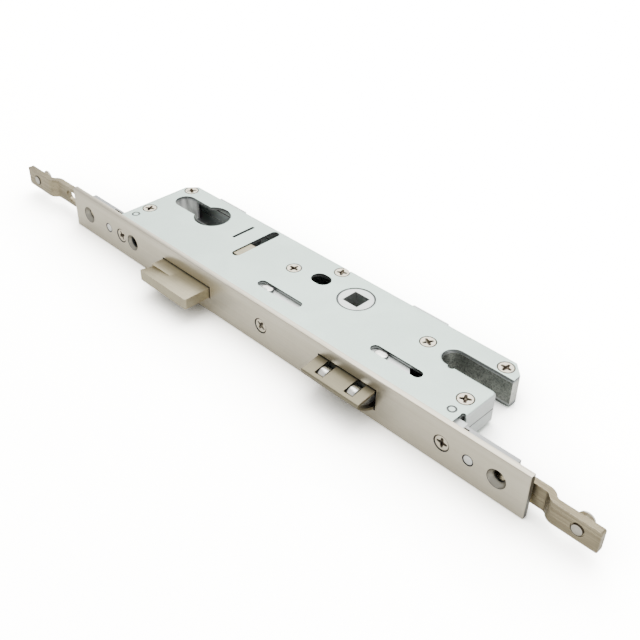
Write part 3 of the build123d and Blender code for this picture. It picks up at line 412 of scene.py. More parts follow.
def grained_steel(name, face, shade, worn, grain, clouds, tone, rough, bump, wear_radius=0.0003, brushed=0.0,
                  speckled=False):
    """Brushed, ground or drawn steel. Grain is the (length, width) of its streaks along X, clouds the size of
    its clouds and its speckle, tone the weights of streaks and clouds, and rough the range of its roughness.
    The face mark darkens a face with painted shade."""
    made, shader, surface, place = begin_material(name)
    streaks = shader.group("Lock grain", place, Length=grain[0], Width=grain[1])
    patches = shader.group("Lock clouds", place, Size=clouds[0], Speckle_Size=clouds[1])
    mixed = shader.weigh(streaks["Streaks"], tone[0], patches["Clouds"], tone[1])
    base = shader.mix(mixed, face, shade)
    base = wear_edges(shader, place, base, worn, 0.5, wear_radius)
    # painted shade on faces with the mark
    base = shader.mix(shader.mark("shaded"), base, "zinc_cut")
    uneven = (patches["Speckle"], *NOISE_RANGE) if speckled else (streaks["Streaks"], 0.0, 1.0)
    surface.inputs["Anisotropic"].default_value = brushed
    finish_surface(shader, surface, base, shader.spread(*uneven, *rough), streaks["Height"], *bump)
    return made


def casting(name, skin, shade, rough, pits, metallic):
    """Zinc casting: dark mottling in two sizes and a pitted skin. Where its face mark is 1, painted light
    brightens the face.
    """
    made, shader, surface, place = begin_material(name, metallic)
    clouds = shader.group("Lock clouds", place, Size=0.004, Speckle_Size=0.0006)
    mottle = shader.spread(clouds["Speckle"], 0.42, 0.62)
    tone = shader.weigh(clouds["Clouds"], 0.4, mottle, 0.45)
    painted_lit_end = shader.mix(shader.times(tone, 0.5), "casting_worn_and_lit", skin)
    base = shader.mix(tone, skin, shade)
    base = wear_edges(shader, place, base, "casting_worn_and_lit", 0.2)
    # painted light on the right end faces
    base = shader.mix(shader.mark("shaded"), base, painted_lit_end)
    gloss = shader.spread(mottle, 0.0, 1.0, rough, rough + 0.4 * pits)
    finish_surface(shader, surface, base, gloss, clouds["Speckle"], pits, 0.00012)
    return made


def turned_steel(name, face, shade, sunk, rough, fineness, tone=(0.4, 0.3), cloud_size=0.003, stain=1.0,
                 sunk_rough=0.0, bump=0.15):
    """Turned and plated steel: fine rings on the piece's own map, faint clouds, and painted shade of another
    colour where mark "sunk" is 1. Tone holds the weights of rings and clouds; the share of that painted shade
    varies with the clouds down to a given least share."""
    made, shader, surface, place = begin_material(name)
    chart = shader.add("ShaderNodeUVMap", uv_map="profile").outputs["UV"]
    rings = shader.group("Lock turning", chart, Fineness=fineness)["Rings"]
    clouds = shader.group("Lock clouds", place, Size=cloud_size, Speckle_Size=0.0003)["Clouds"]
    mark = shader.mark("sunk")
    base = shader.mix(shader.weigh(rings, tone[0], clouds, tone[1]), face, shade)
    # painted shade where the mark is set, patchy by clouds
    covered = shader.times(mark, shader.spread(clouds, 0.0, 1.0, stain, 1.0))
    even = shader.spread(rings, *NOISE_RANGE, rough, rough + 0.1)
    gloss = shader.math("ADD", even, shader.times(mark, sunk_rough))
    finish_surface(shader, surface, shader.mix(covered, base, sunk), gloss, rings, bump, 3e-5)
    return made


def floor(name):
    """Pale matt floor with a barely visible grain and a painted contact shadow from ambient occlusion, seen
    brighter by the camera than by the lock, as on an overexposed photograph."""
    stage = settings("stage")
    made, shader, surface, place = begin_material(name, 0.0)
    clouds = shader.group("Lock clouds", place, Size=0.3, Speckle_Size=0.002)
    shade = tuple(0.985 * part for part in stage.floor_colour)
    base = shader.mix(clouds["Clouds"], (*stage.floor_colour, 1.0), (*shade, 1.0))
    for socket, value in (("Base Color", base), ("Roughness", 0.9), ("Specular IOR Level", 0.1)):
        shader.put(surface.inputs[socket], value)
    # painted contact shadow: ambient occlusion darkens the floor's colour near the lock
    near = shader.add("ShaderNodeAmbientOcclusion", {"Distance": stage.contact_reach}, samples=16)
    contact = shader.math("POWER", near.outputs["AO"], stage.contact_depth)
    lift = shader.times(contact, stage.floor_lift)
    bright = shader.add("ShaderNodeVectorMath", {0: base, "Scale": lift}, operation="SCALE").outputs["Vector"]
    lifted = shader.add("ShaderNodeBsdfDiffuse", {"Color": bright})
    seen = shader.add("ShaderNodeLightPath").outputs["Is Camera Ray"]
    both = shader.add("ShaderNodeMixShader", {0: seen, 1: surface.outputs["BSDF"], 2: lifted.outputs["BSDF"]})
    out = next(node for node in made.node_tree.nodes if node.type == "OUTPUT_MATERIAL")
    shader.put(out.inputs["Surface"], both.outputs["Shader"])
    return made


NICKEL = dict(grain=(0.008, 0.00018), clouds=(0.006, 0.0003), tone=(0.5, 0.4), rough=(0.30, 0.40),
              bump=(0.10, 4e-5), speckled=True)
FINISHES = {
    "zinc_plate": (plated_sheet, dict(
        plate="zinc_plate", shade="zinc_shade", inner="zinc_inner", rough=0.42, seamed=True)),
    "zinc_bright": (plated_sheet, dict(
        plate="zinc_bright", shade="zinc_inner", inner="zinc_bright", rough=0.40)),
    "zinc_dull": (plated_sheet, dict(plate="spring", shade="casting", inner="spring", rough=0.40)),
    "stainless_brushed": (grained_steel, dict(
        face="stainless", shade="stainless_streak", worn="bright", grain=(0.03, 0.00022),
        clouds=(0.03, 0.0006), tone=(0.3, 0.3), rough=(0.30, 0.42), bump=(0.10, 5e-5), wear_radius=0.00035,
        brushed=0.5)),
    "nickel_satin": (grained_steel, dict(face="nickel", shade="nickel_shade", worn="screw", **NICKEL)),
    "latch_nickel": (grained_steel, dict(face="latch", shade="latch_shade", worn="stainless", **NICKEL)),
    "rod_drawn_steel": (grained_steel, dict(
        face="rod", shade="rod_shade", worn="screw", grain=(0.02, 0.0005), clouds=(0.012, 0.0004),
        tone=(0.65, 0.25), rough=(0.26, 0.42), bump=(0.25, 6e-5), wear_radius=0.0005)),
    "zinc_casting": (casting, dict(
        skin="casting", shade="casting_shade", rough=0.38, pits=0.5, metallic=0.9)),
    "saddle_plated": (casting, dict(
        skin="saddle", shade="saddle_shade", rough=0.24, pits=0.02, metallic=0.6)),
    "screw_plated": (turned_steel, dict(
        face="screw", shade="stainless_streak", sunk="screw_recess", rough=0.24, fineness=11.0,
        tone=(0.3, 0.0), cloud_size=0.002, stain=0.75, sunk_rough=0.25, bump=0.12)),
    "bright_turned": (turned_steel, dict(
        face="bright", shade="zinc_bright", sunk="zinc_cut", rough=0.20, fineness=8.0)),
    "stud_satin": (turned_steel, dict(
        face="stud", shade="screw", sunk="screw_recess", rough=0.34, fineness=6.0)),
    "rivet_satin": (turned_steel, dict(
        face="rivet", shade="zinc_inner", sunk="zinc_cut", rough=0.34, fineness=6.0)),
    "spring_wire": (turned_steel, dict(
        face="spring", shade="casting_shade", sunk="zinc_cut", rough=0.30, fineness=5.0)),
    "stage_floor": (floor, {}),
}


def finish(name):
    """The material of that name, made when it is first asked for."""
    maker, values = FINISHES[name]
    return bpy.data.materials.get(name) or maker(name, **values)


# Surfaces

JOIN = 0.002 * MM  # corners of a CAD mesh that are closer than this are one
FLAT_ANGLE = math.radians(0.4)  # triangles that turn by less make one flat face
SHARP_ANGLE = math.radians(48)  # shading of a CAD piece breaks at sharper edges
ROUNDED_ANGLE = math.radians(50)  # sharper edges of a CAD piece are rounded
TURNED_SHARP_ANGLE = math.radians(42)  # shading of a turned piece breaks at sharper edges


def turned_grid(radius, height, columns):
    """Points of a turned shape: x = r cos a, y = r sin a, z = h, for each profile point and angle a."""
    turn = np.arange(columns) * FULL_TURN / columns
    x = radius[:, None] * np.cos(turn)
    y = radius[:, None] * np.sin(turn)
    return np.stack([x, y, np.broadcast_to(height[:, None], x.shape)], axis=-1)


def profile(*stretches):
    """Joins (radii, heights) stretches of a turned shape's profile into two arrays."""
    return [np.concatenate(parts) for parts in zip(*stretches)]


def placed(points, turn, place):
    """Points turned by Euler angles, then moved."""
    return points @ np.array(Euler(turn).to_matrix()).T + np.array(place)


def grid_object(name, grids, tones=()):
    """One mesh over several grids of points. Rows follow a profile, and columns close round it. Map "profile"
    holds the share of the turn and the millimetres along the profile, attribute "sunk" the points' tones of
    painted shade."""
    vertices, faces, charts = [], [], []
    start = 0
    for grid in grids:
        rows, columns = grid.shape[:2]
        row, column = np.meshgrid(np.arange(rows - 1), np.arange(columns), indexing="ij")
        following = (column + 1) % columns
        corners = np.stack([row * columns + column, row * columns + following,
                            (row + 1) * columns + following, (row + 1) * columns + column], axis=-1)
        step = np.linalg.norm(np.diff(grid[:, 0], axis=0), axis=-1)
        run = np.concatenate([[0], np.cumsum(step)]) / MM
        turn = np.stack([column, column + 1, column + 1, column], axis=-1) / columns
        reach = np.stack([run[row], run[row], run[row + 1], run[row + 1]], axis=-1)
        vertices.append(grid.reshape(-1, 3))
        faces.append(corners.reshape(-1, 4) + start)
        charts.append(np.stack([turn, reach], axis=-1).reshape(-1, 2))
        start += rows * columns
    mesh = bpy.data.meshes.new(name)
    mesh.from_pydata(np.concatenate(vertices), [], np.concatenate(faces))
    mesh.uv_layers.new(name="profile").data.foreach_set("uv", np.concatenate(charts).ravel())
    values = np.concatenate([tone.ravel() for tone in tones]) if tones else np.zeros(start)
    mesh.attributes.new("sunk", "FLOAT", "POINT").data.foreach_set("value", values)
    work = joined(mesh, JOIN / 2)
    bmesh.ops.recalc_face_normals(work, faces=work.faces)
    store(work, mesh, TURNED_SHARP_ANGLE)
    return show(name, mesh)


def joined(mesh, gap=JOIN):
    """A mesh opened for editing, with corners that are closer than the gap made one."""
    work = bmesh.new()
    work.from_mesh(mesh)
    bmesh.ops.remove_doubles(work, verts=work.verts, dist=gap)
    return work


def store(work, mesh, sharp_angle):
    """Writes an edited mesh back and shades it smooth between its sharp edges."""
    work.to_mesh(mesh)
    work.free()
    if "custom_normal" in mesh.attributes:
        mesh.attributes.remove(mesh.attributes["custom_normal"])
    mesh.shade_smooth()
    mesh.set_sharp_from_angle(angle=sharp_angle)


def show(name, content):
    """An object of that name in the scene, at the origin."""
    made = bpy.data.objects.new(name, content)
    bpy.context.scene.collection.objects.link(made)
    return made


def refinish(material, *nodes):
    """Gives CAD nodes that stay as they are their finish."""
    for node in nodes:
        coat(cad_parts[node], material)


def coat(piece, material):
    piece.data.materials.clear()
    piece.data.materials.append(finish(material))


def dress(piece, material, slot, body, *nodes):
    """Gives a piece its material, hides the CAD nodes it stands for, and fixes it to its body."""
    coat(piece, material)
    if nodes:
        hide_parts(*nodes)
    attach(piece, body)
    return piece


# Painted shade and light on faces of the CAD pieces

FACING = 0.9  # least share of a face's normal along an axis for a face that faces that way
ROLLED = 0.85  # greatest share of it for a face on a rolled edge
WALL = 0.1  # greatest share of it for a wall along that axis
SLOT_LEFT = 5 * MM  # how far the arm's open slot reaches past the arm's block
SLOT_ABOVE = 2 * MM  # how far it reaches past the block's middle
LEVEL = 0.99  # least share of a face's normal along Z for a flat top
CONE = 0.95  # greatest share of a face's normal across the faceplate for a countersink
ENDS_FROM, SIDES_FROM = 0.99, 0.97  # shares of the faceplate's reach at which its ends and sides begin
SPINDLE_REACH = 0.8  # share of the follower's half height within which its square hole lies
ROUND_TOP = 2.1  # greatest width of a round top in radii
IN_SHADE, SPINDLE_SHADE, INNER_SHADE = 2.0, 1.5, 1.4  # marks of faces with painted shade that aren't punched walls
CONE_SHADE, END_SHADE = 0.55, 0.85  # marks of painted shade on the faceplate's countersinks and on its right end


def mark_faces(mesh, rule):
    """Raises the mark of painted shade and light on each face to what the rule says of the face normals and
    centres.
    """
    count = len(mesh.polygons)
    normal, centre, marked = np.empty(count * 3), np.empty(count * 3), np.empty(count)
    mesh.polygons.foreach_get("normal", normal)
    mesh.polygons.foreach_get("center", centre)
    marks = mesh.attributes["shaded"]
    marks.data.foreach_get("value", marked)
    marks.data.foreach_set("value", np.maximum(marked, rule(normal.reshape(-1, 3), centre.reshape(-1, 3))))


def punched_walls(normal, centre):
    """1 on the walls of the holes in the case's outer skin and on the rolled edge of the arm's slot, which
    get painted shade. The rims that meet at the seam get deep painted shade, and the inner faces of the skins
    less."""
    low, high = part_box("arm_block")
    skin, middle = high.z, (low.y + high.y) / 2
    x, y, z = centre.T
    height, rise = np.abs(z), normal[:, 2] * np.sign(z)
    slot = (x > low.x - SLOT_LEFT) & (x < high.x - MM) & (y > low.y) & (y < middle + SLOT_ABOVE)
    upright = (np.abs(rise) < np.where(slot, ROLLED, WALL / 2)) & (height > skin)
    seam = (np.abs(rise) > FACING) & (height < skin / 2)
    inner = (rise < -FACING) & (height > skin - MM)
    return upright + IN_SHADE * seam + INNER_SHADE * inner


def faceplate_holes(normal, centre):
    """1 on the walls of the holes in the faceplate, and less on their countersinks and on its right end, all
    as painted shade.
    """
    low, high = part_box("faceplate")
    x, z = centre[:, 0], centre[:, 2]
    left, right, side = low.x * ENDS_FROM, high.x * ENDS_FROM, high.z * SIDES_FROM
    inside = (np.abs(z) < side) & (x > left) & (x < right)
    across = np.abs(normal[:, 1])
    wall = inside & (across < WALL)
    cone = inside & (across < CONE) & ~wall
    return wall + CONE_SHADE * cone + END_SHADE * (normal[:, 0] > FACING) * (x > right)


def guide_webs(normal, centre):
    """Deep painted shade on the front faces of the rod guides, which lie behind the faceplate's holes."""
    return IN_SHADE * (normal[:, 1] < -FACING)


def spindle_walls(normal, centre):
    """Some painted shade on the walls of the follower's square hole."""
    near = np.linalg.norm(centre[:, :2], axis=-1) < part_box("follower")[1].z * SPINDLE_REACH
    return SPINDLE_SHADE * (near & (np.abs(normal[:, 2]) < WALL))


def right_end(node, depth):
    """A rule that gives 1 on the right end face of a casting, where painted light brightens it."""
    return lambda normal, centre: (normal[:, 0] > FACING) & (centre[:, 0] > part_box(node)[1].x - depth)


def darken_rim(work, shaded, width, reach):
    """Insets the flat outer faces of round pieces of radius reach, and paints shade on the ring round each.
    """
    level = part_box("arm_block")[1].z
    tops = [face for face in work.faces
            if abs(face.normal.z) > LEVEL and abs(face.calc_center_bounds().z) > level
            and max(np.ptp([v.co[:2] for v in face.verts], axis=0)) < reach * ROUND_TOP]
    places = np.array([v.co[:] for face in tops for v in face.verts])
    middle = Vector((places.min(0) + places.max(0)) / 2)
    ring = bmesh.ops.inset_region(work, faces=tops, thickness=width, use_even_offset=True, use_boundary=True)
    for face in ring["faces"]:
        if (face.calc_center_bounds() - middle).xy.length > reach - width:
            # painted gap shadow on the ring
            face[shaded] = IN_SHADE


def softened(node, edge, material, slot, body, rule=None, rim=None):
    """A copy of a CAD node with its triangles joined into flat faces and its sharp edges rounded. Among the
    sizes of the edges, edge names the rounding's width and rim the radius of a round top with a ring of
    painted gap shadow."""
    edges = settings("edges")
    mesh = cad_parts[node].data.copy()
    work = joined(mesh)
    bmesh.ops.dissolve_limit(work, angle_limit=FLAT_ANGLE, verts=work.verts, edges=work.edges)
    shaded = work.faces.layers.float.new("shaded")
    if rim:
        darken_rim(work, shaded, edges.dark_rim, getattr(edges, rim))
    store(work, mesh, SHARP_ANGLE)
    if rule:
        mark_faces(mesh, rule)
    piece = show(node + "_formed", mesh)
    rounding = piece.modifiers.new("Edge rounding", "BEVEL")
    rounding.width = getattr(edges, edge)
    rounding.segments = 2
    rounding.limit_method = "ANGLE"
    rounding.angle_limit = ROUNDED_ANGLE
    rounding.use_clamp_overlap = True
    rounding.harden_normals = True
    return dress(piece, material, slot, body, node)


def solids_of(node):
    """(lowest, highest) corner of each separate solid in a CAD node, by walking its joined triangles. They
    are sorted by their lowest corners, so that each run gives them in the same order."""
    work = joined(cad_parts[node].data)
    left = set(work.verts)
    boxes = []
    while left:
        group, edge = set(), {next(iter(left))}
        while edge:
            group |= edge
            edge = {other for v in edge for e in v.link_edges for other in e.verts} - group
        left -= group
        places = np.array([v.co for v in group])
        boxes.append((places.min(0), places.max(0)))
    work.free()
    return sorted(boxes, key=lambda corners: tuple(corners[0]))


# Screws

FACE_ROWS, RIM_ROWS = 42, 6  # rows of the grid over a screw's flat face and over its rounded rim
THREAD_ROWS = 4  # rows of the grid to one turn of its thread
FIRST_CROSS, NEXT_CROSS = 0.5, 2.1  # how the first cross is turned, and each next one from the last
GROOVE_END, GROOVE_SWELL = 0.28, 0.22  # shares of a groove's width: half its end, and the gain to its middle
GROOVE_SLOPE = 0.16  # width of a groove's sloping sides as a share of the recess's width
GROOVE_POWER = 0.45  # how fast a groove deepens from its end
TICK_WIDTH = 0.4  # width of a tick as a share of the recess's width
FULL_TONE = 0.22  # share of the recess's depth from which on it is fully in painted shade
RING_FADE = 0.4  # share of the width of the painted gap shadow's ring over which it fades out
POINT = 0.6  # a screw's blunt point as a share of its shank


def cross_depth(x, y, sizes):
    """Depth of the recess under each point: two grooves at right angles, deepest in the middle and narrower
    towards their ends, and two shallow ticks at half a right angle to them."""
    slope = sizes.recess_width * GROOVE_SLOPE
    p, q = (x + y) * math.sqrt(0.5), (x - y) * math.sqrt(0.5)
    arm = (sizes.recess_reach, sizes.recess_width, sizes.recess_depth)
    tick = (sizes.tick_reach, sizes.recess_width * TICK_WIDTH, sizes.tick_depth)
    deepest = 0.0
    for along, across, (reach, width, depth) in ((x, y, arm), (y, x, arm), (p, q, tick), (q, p, tick)):
        share = np.clip(1 - np.abs(along) / reach, 0, 1)
        half = width * (GROOVE_END + GROOVE_SWELL * share)
        groove = depth * share ** GROOVE_POWER * np.clip((half - np.abs(across)) / slope, 0, 1)
        deepest = np.maximum(deepest, groove)
    return deepest


def screw_grid(head, shank, reach, turn, sizes):
    """A countersunk screw, its face at zero and its point down: flat head with a rounded rim and a cross
    recess, cone, shank with a helical thread, and a chamfered point. Also gives the tone of painted shade of
    each point: in the recess and in a ring round the head."""
    rim = sizes.rim
    bend = np.linspace(0, QUARTER_TURN, RIM_ROWS)[1:]
    cone_end = -(head - shank) - rim
    thread = np.linspace(cone_end, -reach + rim, int(reach / sizes.pitch) * THREAD_ROWS)
    radius, height = profile((np.linspace(0, head - rim, FACE_ROWS), np.zeros(FACE_ROWS)),
                             (head - rim + rim * np.sin(bend), rim * (np.cos(bend) - 1)),
                             ([shank], [cone_end]), (np.full(len(thread), shank), thread),
                             ([shank * POINT, 0], [-reach, -reach]))
    x, y, z = np.moveaxis(turned_grid(radius, height, sizes.around), -1, 0)
    share = (np.arange(sizes.around) / sizes.around)[None, :]
    wave = np.abs(((z / sizes.pitch + share) % 1.0) * 2 - 1)
    is_thread = (z < cone_end - rim / 2) & (z > rim - reach)
    trim = np.where(is_thread, 1 - sizes.thread_depth / shank * wave, 1.0)
    a, b = x * math.cos(turn) + y * math.sin(turn), y * math.cos(turn) - x * math.sin(turn)
    sunk = np.where(height[:, None] > -rim / 2, cross_depth(a, b, sizes), 0.0)
    # painted gap shadow round the head
    ring = np.clip((radius - head + sizes.ring) / (sizes.ring * RING_FADE), 0, 1)[:, None]
    shaped = np.stack([x * trim, y * trim, z - sunk], axis=-1)
    return shaped, np.clip(sunk / (sizes.recess_depth * FULL_TONE) + ring, 0, 1)


def screws(name, node, facing, axis, shank_share):
    """Screws at the places of a CAD node's solids. Facing turns a screw from pointing down to lie along the
    axis, and the shank's share is of its head."""
    sizes = settings("screws")
    grids, tones = [], []
    for index, (low, high) in enumerate(solids_of(node)):
        head = (high[0] - low[0]) / 2
        turn = FIRST_CROSS + NEXT_CROSS * index
        grid, tone = screw_grid(head - sizes.gap, head * shank_share, high[axis] - low[axis], turn, sizes)
        place = (low + high) / 2
        place[axis] = high[axis] if axis == 2 else low[axis]
        grids.append(placed(grid, facing, place))
        tones.append(tone)
    dress(grid_object(name, grids, tones), "screw_plated", "screw_steel", "case", node)


# Turned pins, rollers and the latch spring

CROWN_ROWS, BEND_ROWS = 8, 5  # rows of the grid over a pin's end and over its rounded rim
ROLLER_ROWS, ROLLER_BEND_ROWS = 12, 7  # the same for a roller
WIRE_COLUMNS = 14  # columns of the grid round the spring's wire
COIL_ROWS = 40  # rows of the grid to one turn of the spring
STUD_ROUNDING, ROLLER_ROUNDING = 1.6, 1.3  # rims of a stud's back end and of a roller, in usual edges
DRAWN = 1.5  # how soon from its middle a pin's end is drawn apart by its whole run
CLOSED_ENDS = 0.06  # how much of the spring's length its end turns give to the middle ones


def rounded_end(radius, top, edge, dome):
    """Profile of a pin's end from its middle outwards: a dome and a rounded rim."""
    flat = np.linspace(0, radius - edge, CROWN_ROWS)
    crown = top - dome * (flat / (radius - edge)) ** 2
    bend = np.linspace(0, QUARTER_TURN, BEND_ROWS)[1:]
    rim = radius - edge + edge * np.sin(bend), crown[-1] + edge * (np.cos(bend) - 1)
    return profile((flat, crown), rim)


def rim_tone(radius, outer, sizes):
    """Tone of painted gap shadow for each point of a turned grid: dark from the outer edge inwards over the
    dark ring's width.
    """
    tone = np.clip((radius - outer + sizes.dark_ring) / (sizes.dark_ring / 2), 0, 1)
    return np.repeat(tone, sizes.around)


def guide_pins():
    """Domed oblong pins that stand on the drive slide: turned shapes whose halves are drawn apart along X."""
    sizes = settings("running")
    slide_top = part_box("drive_slide")[1].z
    column = np.arange(sizes.around)
    side = np.where((column < sizes.around / 4) | (column >= sizes.around * 3 // 4), 1, -1)
    grids, tones = [], []
    for low, high in solids_of("slide_guide_pins"):
        radius = (high[1] - low[1]) / 2
        run = (high[0] - low[0]) / 2 - radius
        foot = [radius, radius / 2, radius / 2, 0], [slide_top, slide_top, low[2], low[2]]
        r, h = profile(rounded_end(radius, high[2], sizes.edge, sizes.pin_dome), foot)
        grid = turned_grid(r, h, sizes.around)
        grid[:, :, 0] += np.clip(r / radius * DRAWN, 0, 1)[:, None] * side * run
        centre = (low + high) / 2
        grids.append(grid + np.array([centre[0], centre[1], 0]))
        tones.append(rim_tone(r, radius, sizes))
    piece = grid_object("guide_pins_domed", grids, tones)
    dress(piece, "bright_turned", "bright_steel", "drive_slide", "slide_guide_pins")


def guide_rivets():
    """Rivets whose crowned ends fill their holes in the faceplate but for a thin ring."""
    sizes = settings("running")
    guide_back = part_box("left_rod_guide")[1].y
    grids, tones = [], []
    for low, high in solids_of("guide_rivets"):
        hole = (high[0] - low[0]) / 2
        radius, neck = hole - sizes.rivet_gap, hole * sizes.rivet_neck
        run = high[1] - low[1]
        step = run - (guide_back - high[1]) - sizes.rivet_tail
        tail = [radius, neck, neck, 0], [-step, -step, -run, -run]
        r, h = profile(rounded_end(radius, -sizes.rivet_sink, sizes.edge, sizes.rivet_dome), tail)
        centre = ((low[0] + high[0]) / 2, low[1], (low[2] + high[2]) / 2)
        grids.append(placed(turned_grid(r, h, sizes.around), (QUARTER_TURN, 0, 0), centre))
        tones.append(rim_tone(r, radius, sizes))
    piece = grid_object("guide_rivets_crowned", grids, tones)
    dress(piece, "rivet_satin", "nickel_plated_steel", "case", "guide_rivets")


def rod_studs():
    """Studs riveted through the rods: a low dished head in front and a thick body with a round end behind."""
    sizes = settings("running")
    for side in ("left", "right"):
        node = side + "_rod_stud"
        low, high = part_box(node)
        rod_low, rod_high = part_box(side + "_rod")
        under_head, behind_rod = rod_low.y - low.y, rod_high.y - low.y
        radius = (high.x - low.x) / 2
        head, neck = radius * sizes.stud_head, radius * sizes.stud_neck
        front_r, front_h = rounded_end(head, 0.0, sizes.edge, sizes.stud_dome)
        back_edge = sizes.edge * STUD_ROUNDING
        back_r, back_h = rounded_end(radius, high.y - low.y, back_edge, sizes.pin_dome)
        waist = [head, neck, neck, radius], [under_head, under_head, behind_rod, behind_rod]
        r, h = profile((front_r, front_h.max() - front_h), waist, (back_r[::-1], back_h[::-1]))
        centre = ((low.x + high.x) / 2, low.y, (low.z + high.z) / 2)
        grid = placed(turned_grid(r, -h, sizes.around), (QUARTER_TURN, 0, 0), centre)
        # painted gap shadow round the front head
        tone = rim_tone(np.where(h > under_head + MM, 0, r), head, sizes)
        # painted shade on the front head
        tone = np.maximum(tone, np.repeat(np.where(h > under_head, 0, sizes.head_tone), sizes.around))
        piece = grid_object(node + "_turned", [grid], [tone])
        dress(piece, "stud_satin", "bright_steel", "drive_slide", node)


def latch_rollers():
    """Polished rollers with a crown between their rounded ends, a bore for the axle, and painted shade at
    their ends.
    """
    sizes = settings("running")
    axle_low, axle_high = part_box("latch_axle")
    bore = (axle_high.z - axle_low.z) / 2 + sizes.roller_play
    edge = sizes.edge * ROLLER_ROUNDING
    bend = np.linspace(0, QUARTER_TURN, ROLLER_BEND_ROWS)
    for side in ("left", "right"):
        node = side + "_latch_roller"
        low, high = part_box(node)
        radius, half = (high.z - low.z) / 2, (high.x - low.x) / 2
        middle = np.linspace(-half + edge, half - edge, ROLLER_ROWS)[1:-1]
        crown = radius - sizes.roller_crown * (middle / half) ** 2
        end = crown[0] - edge
        r, h = profile(([bore], [-half]), (end + edge * np.sin(bend), -half + edge - edge * np.cos(bend)),
                       (crown, middle), (end + edge * np.cos(bend), half - edge + edge * np.sin(bend)),
                       ([bore, bore], [half, -half]))
        grid = placed(turned_grid(r, h, sizes.around), (0, QUARTER_TURN, 0), (low + high) / 2)
        # painted shade towards both ends of a roller
        tone = np.repeat(sizes.roller_shade * np.clip(np.abs(h) / half, 0, 1) ** 3, sizes.around)
        piece = grid_object(node + "_polished", [grid], [tone])
        dress(piece, "bright_turned", "bright_steel", node, node)


def latch_spring():
    """Wire along a helix: its end turns lie closer together than the rest, and the wire's section is carried
    round on the helix's own normal and binormal."""
    sizes = settings("running")
    low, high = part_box("latch_spring")
    wire = sizes.spring_wire
    radius = (high.x - low.x) / 2 - wire
    run = high.y - low.y - 2 * wire
    u = np.linspace(0, 1, int(sizes.spring_turns * COIL_ROWS))
    turn = u * sizes.spring_turns * FULL_TURN
    climb = u - CLOSED_ENDS * np.sin(FULL_TURN * u)
    line = np.stack([radius * np.cos(turn), run * climb, radius * np.sin(turn)], axis=-1)
    ahead = np.gradient(line, axis=0)
    ahead /= np.linalg.norm(ahead, axis=-1, keepdims=True)
    outward = np.stack([np.cos(turn), np.zeros_like(turn), np.sin(turn)], axis=-1)
    side = np.cross(ahead, outward)
    around = (np.arange(WIRE_COLUMNS) * FULL_TURN / WIRE_COLUMNS)[None, :, None]
    tube = line[:, None] + wire * (np.cos(around) * outward[:, None] + np.sin(around) * side[:, None])
    first, last = (np.repeat(end, WIRE_COLUMNS, axis=1) for end in (line[:1, None], line[-1:, None]))
    centre = ((low.x + high.x) / 2, low.y + wire, (low.z + high.z) / 2)
    piece = grid_object("latch_spring_coil", [np.concatenate([first, tube, last]) + np.array(centre)])
    dress(piece, "spring_wire", "spring_steel", "case", "latch_spring")
    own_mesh(piece)


# Stage

FLOOR_ROWS, FLOOR_COLUMNS = 24, 96
FLOOR_FIRST = 0.05  # radius of the floor's innermost ring
LIT = (-0.03, 0.0, 0.0)  # the place that the softboxes face
SENSOR = 36.0  # width of the camera's picture, in millimetres
CLIP = (0.01, 20.0)  # nearest and farthest that the camera sees
SOFTBOXES = (  # name, place, width, depth and tint; the power is a setting
    ("overhead", (-0.15, 0.25, 1.0), 0.9, 0.7, (1.0, 0.99, 0.97)),
    ("back", (-0.62, 0.64, 0.67), 0.9, 0.6, (1.0, 1.0, 1.0)),
    ("side", (0.9, 0.1, 0.35), 0.6, 0.5, (1.0, 1.0, 1.0)),
)


def add_floor(stage):
    """Flat disc that touches the faceplate's lower front edge and the case's lower rear edge."""
    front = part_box("faceplate")[0]
    rear = Vector((0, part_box("case_base")[1].y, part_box("case_base")[0].z))
    slope = (rear.z - front.z) / (rear.y - front.y)
    radius = np.concatenate([[0], np.geomspace(FLOOR_FIRST, stage.floor_reach, FLOOR_ROWS)])
    grid = turned_grid(radius, np.zeros_like(radius), FLOOR_COLUMNS)
    grid[:, :, 2] = front.z + (grid[:, :, 1] - front.y) * slope
    disc = grid_object("stage_floor", [grid])
    coat(disc, "stage_floor")


def add_lights(stage):
    """White surroundings and three softboxes that face the lock."""
    world = bpy.data.worlds.new("Soft surroundings")
    world.use_nodes = True
    background = world.node_tree.nodes["Background"]
    background.inputs["Color"].default_value = (*stage.sky_colour, 1.0)
    background.inputs["Strength"].default_value = stage.sky_strength
    bpy.context.scene.world = world
    for name, place, width, depth, shine in SOFTBOXES:
        lamp = bpy.data.lights.new(name + "_softbox", "AREA")
        lamp.shape = "RECTANGLE"
        lamp.size, lamp.size_y = width, depth
        lamp.energy = getattr(stage, name + "_power")
        lamp.color = shine
        holder = show(lamp.name, lamp)
        holder.location = place
        holder.rotation_euler = (Vector(LIT) - Vector(place)).to_track_quat("-Z", "Y").to_euler()


def add_camera(stage):
    lens = bpy.data.cameras.new("photo_camera")
    lens.sensor_width = SENSOR
    lens.lens = stage.camera_lens
    lens.clip_start, lens.clip_end = CLIP
    azimuth, elevation = stage.camera_azimuth, stage.camera_elevation
    ahead = Vector((-math.sin(azimuth) * math.cos(elevation), math.cos(azimuth) * math.cos(elevation),
                    -math.sin(elevation)))
    roll = Euler((0, 0, stage.camera_roll)).to_matrix()
    holder = show("photo_camera", lens)
    holder.matrix_world = (ahead.to_track_quat("-Z", "Y").to_matrix() @ roll).to_4x4()
    holder.location = stage.camera_place
    bpy.context.scene.camera = holder


# Operators

class LOCK_OT_stage(bpy.types.Operator):
    """Adds the floor, the soft lights and the camera"""
    bl_idname = "lock.stage"
    bl_label = "Stage"

    def execute(self, context):
        for add in (add_floor, add_lights, add_camera):
            add(settings("stage"))
        return {"FINISHED"}


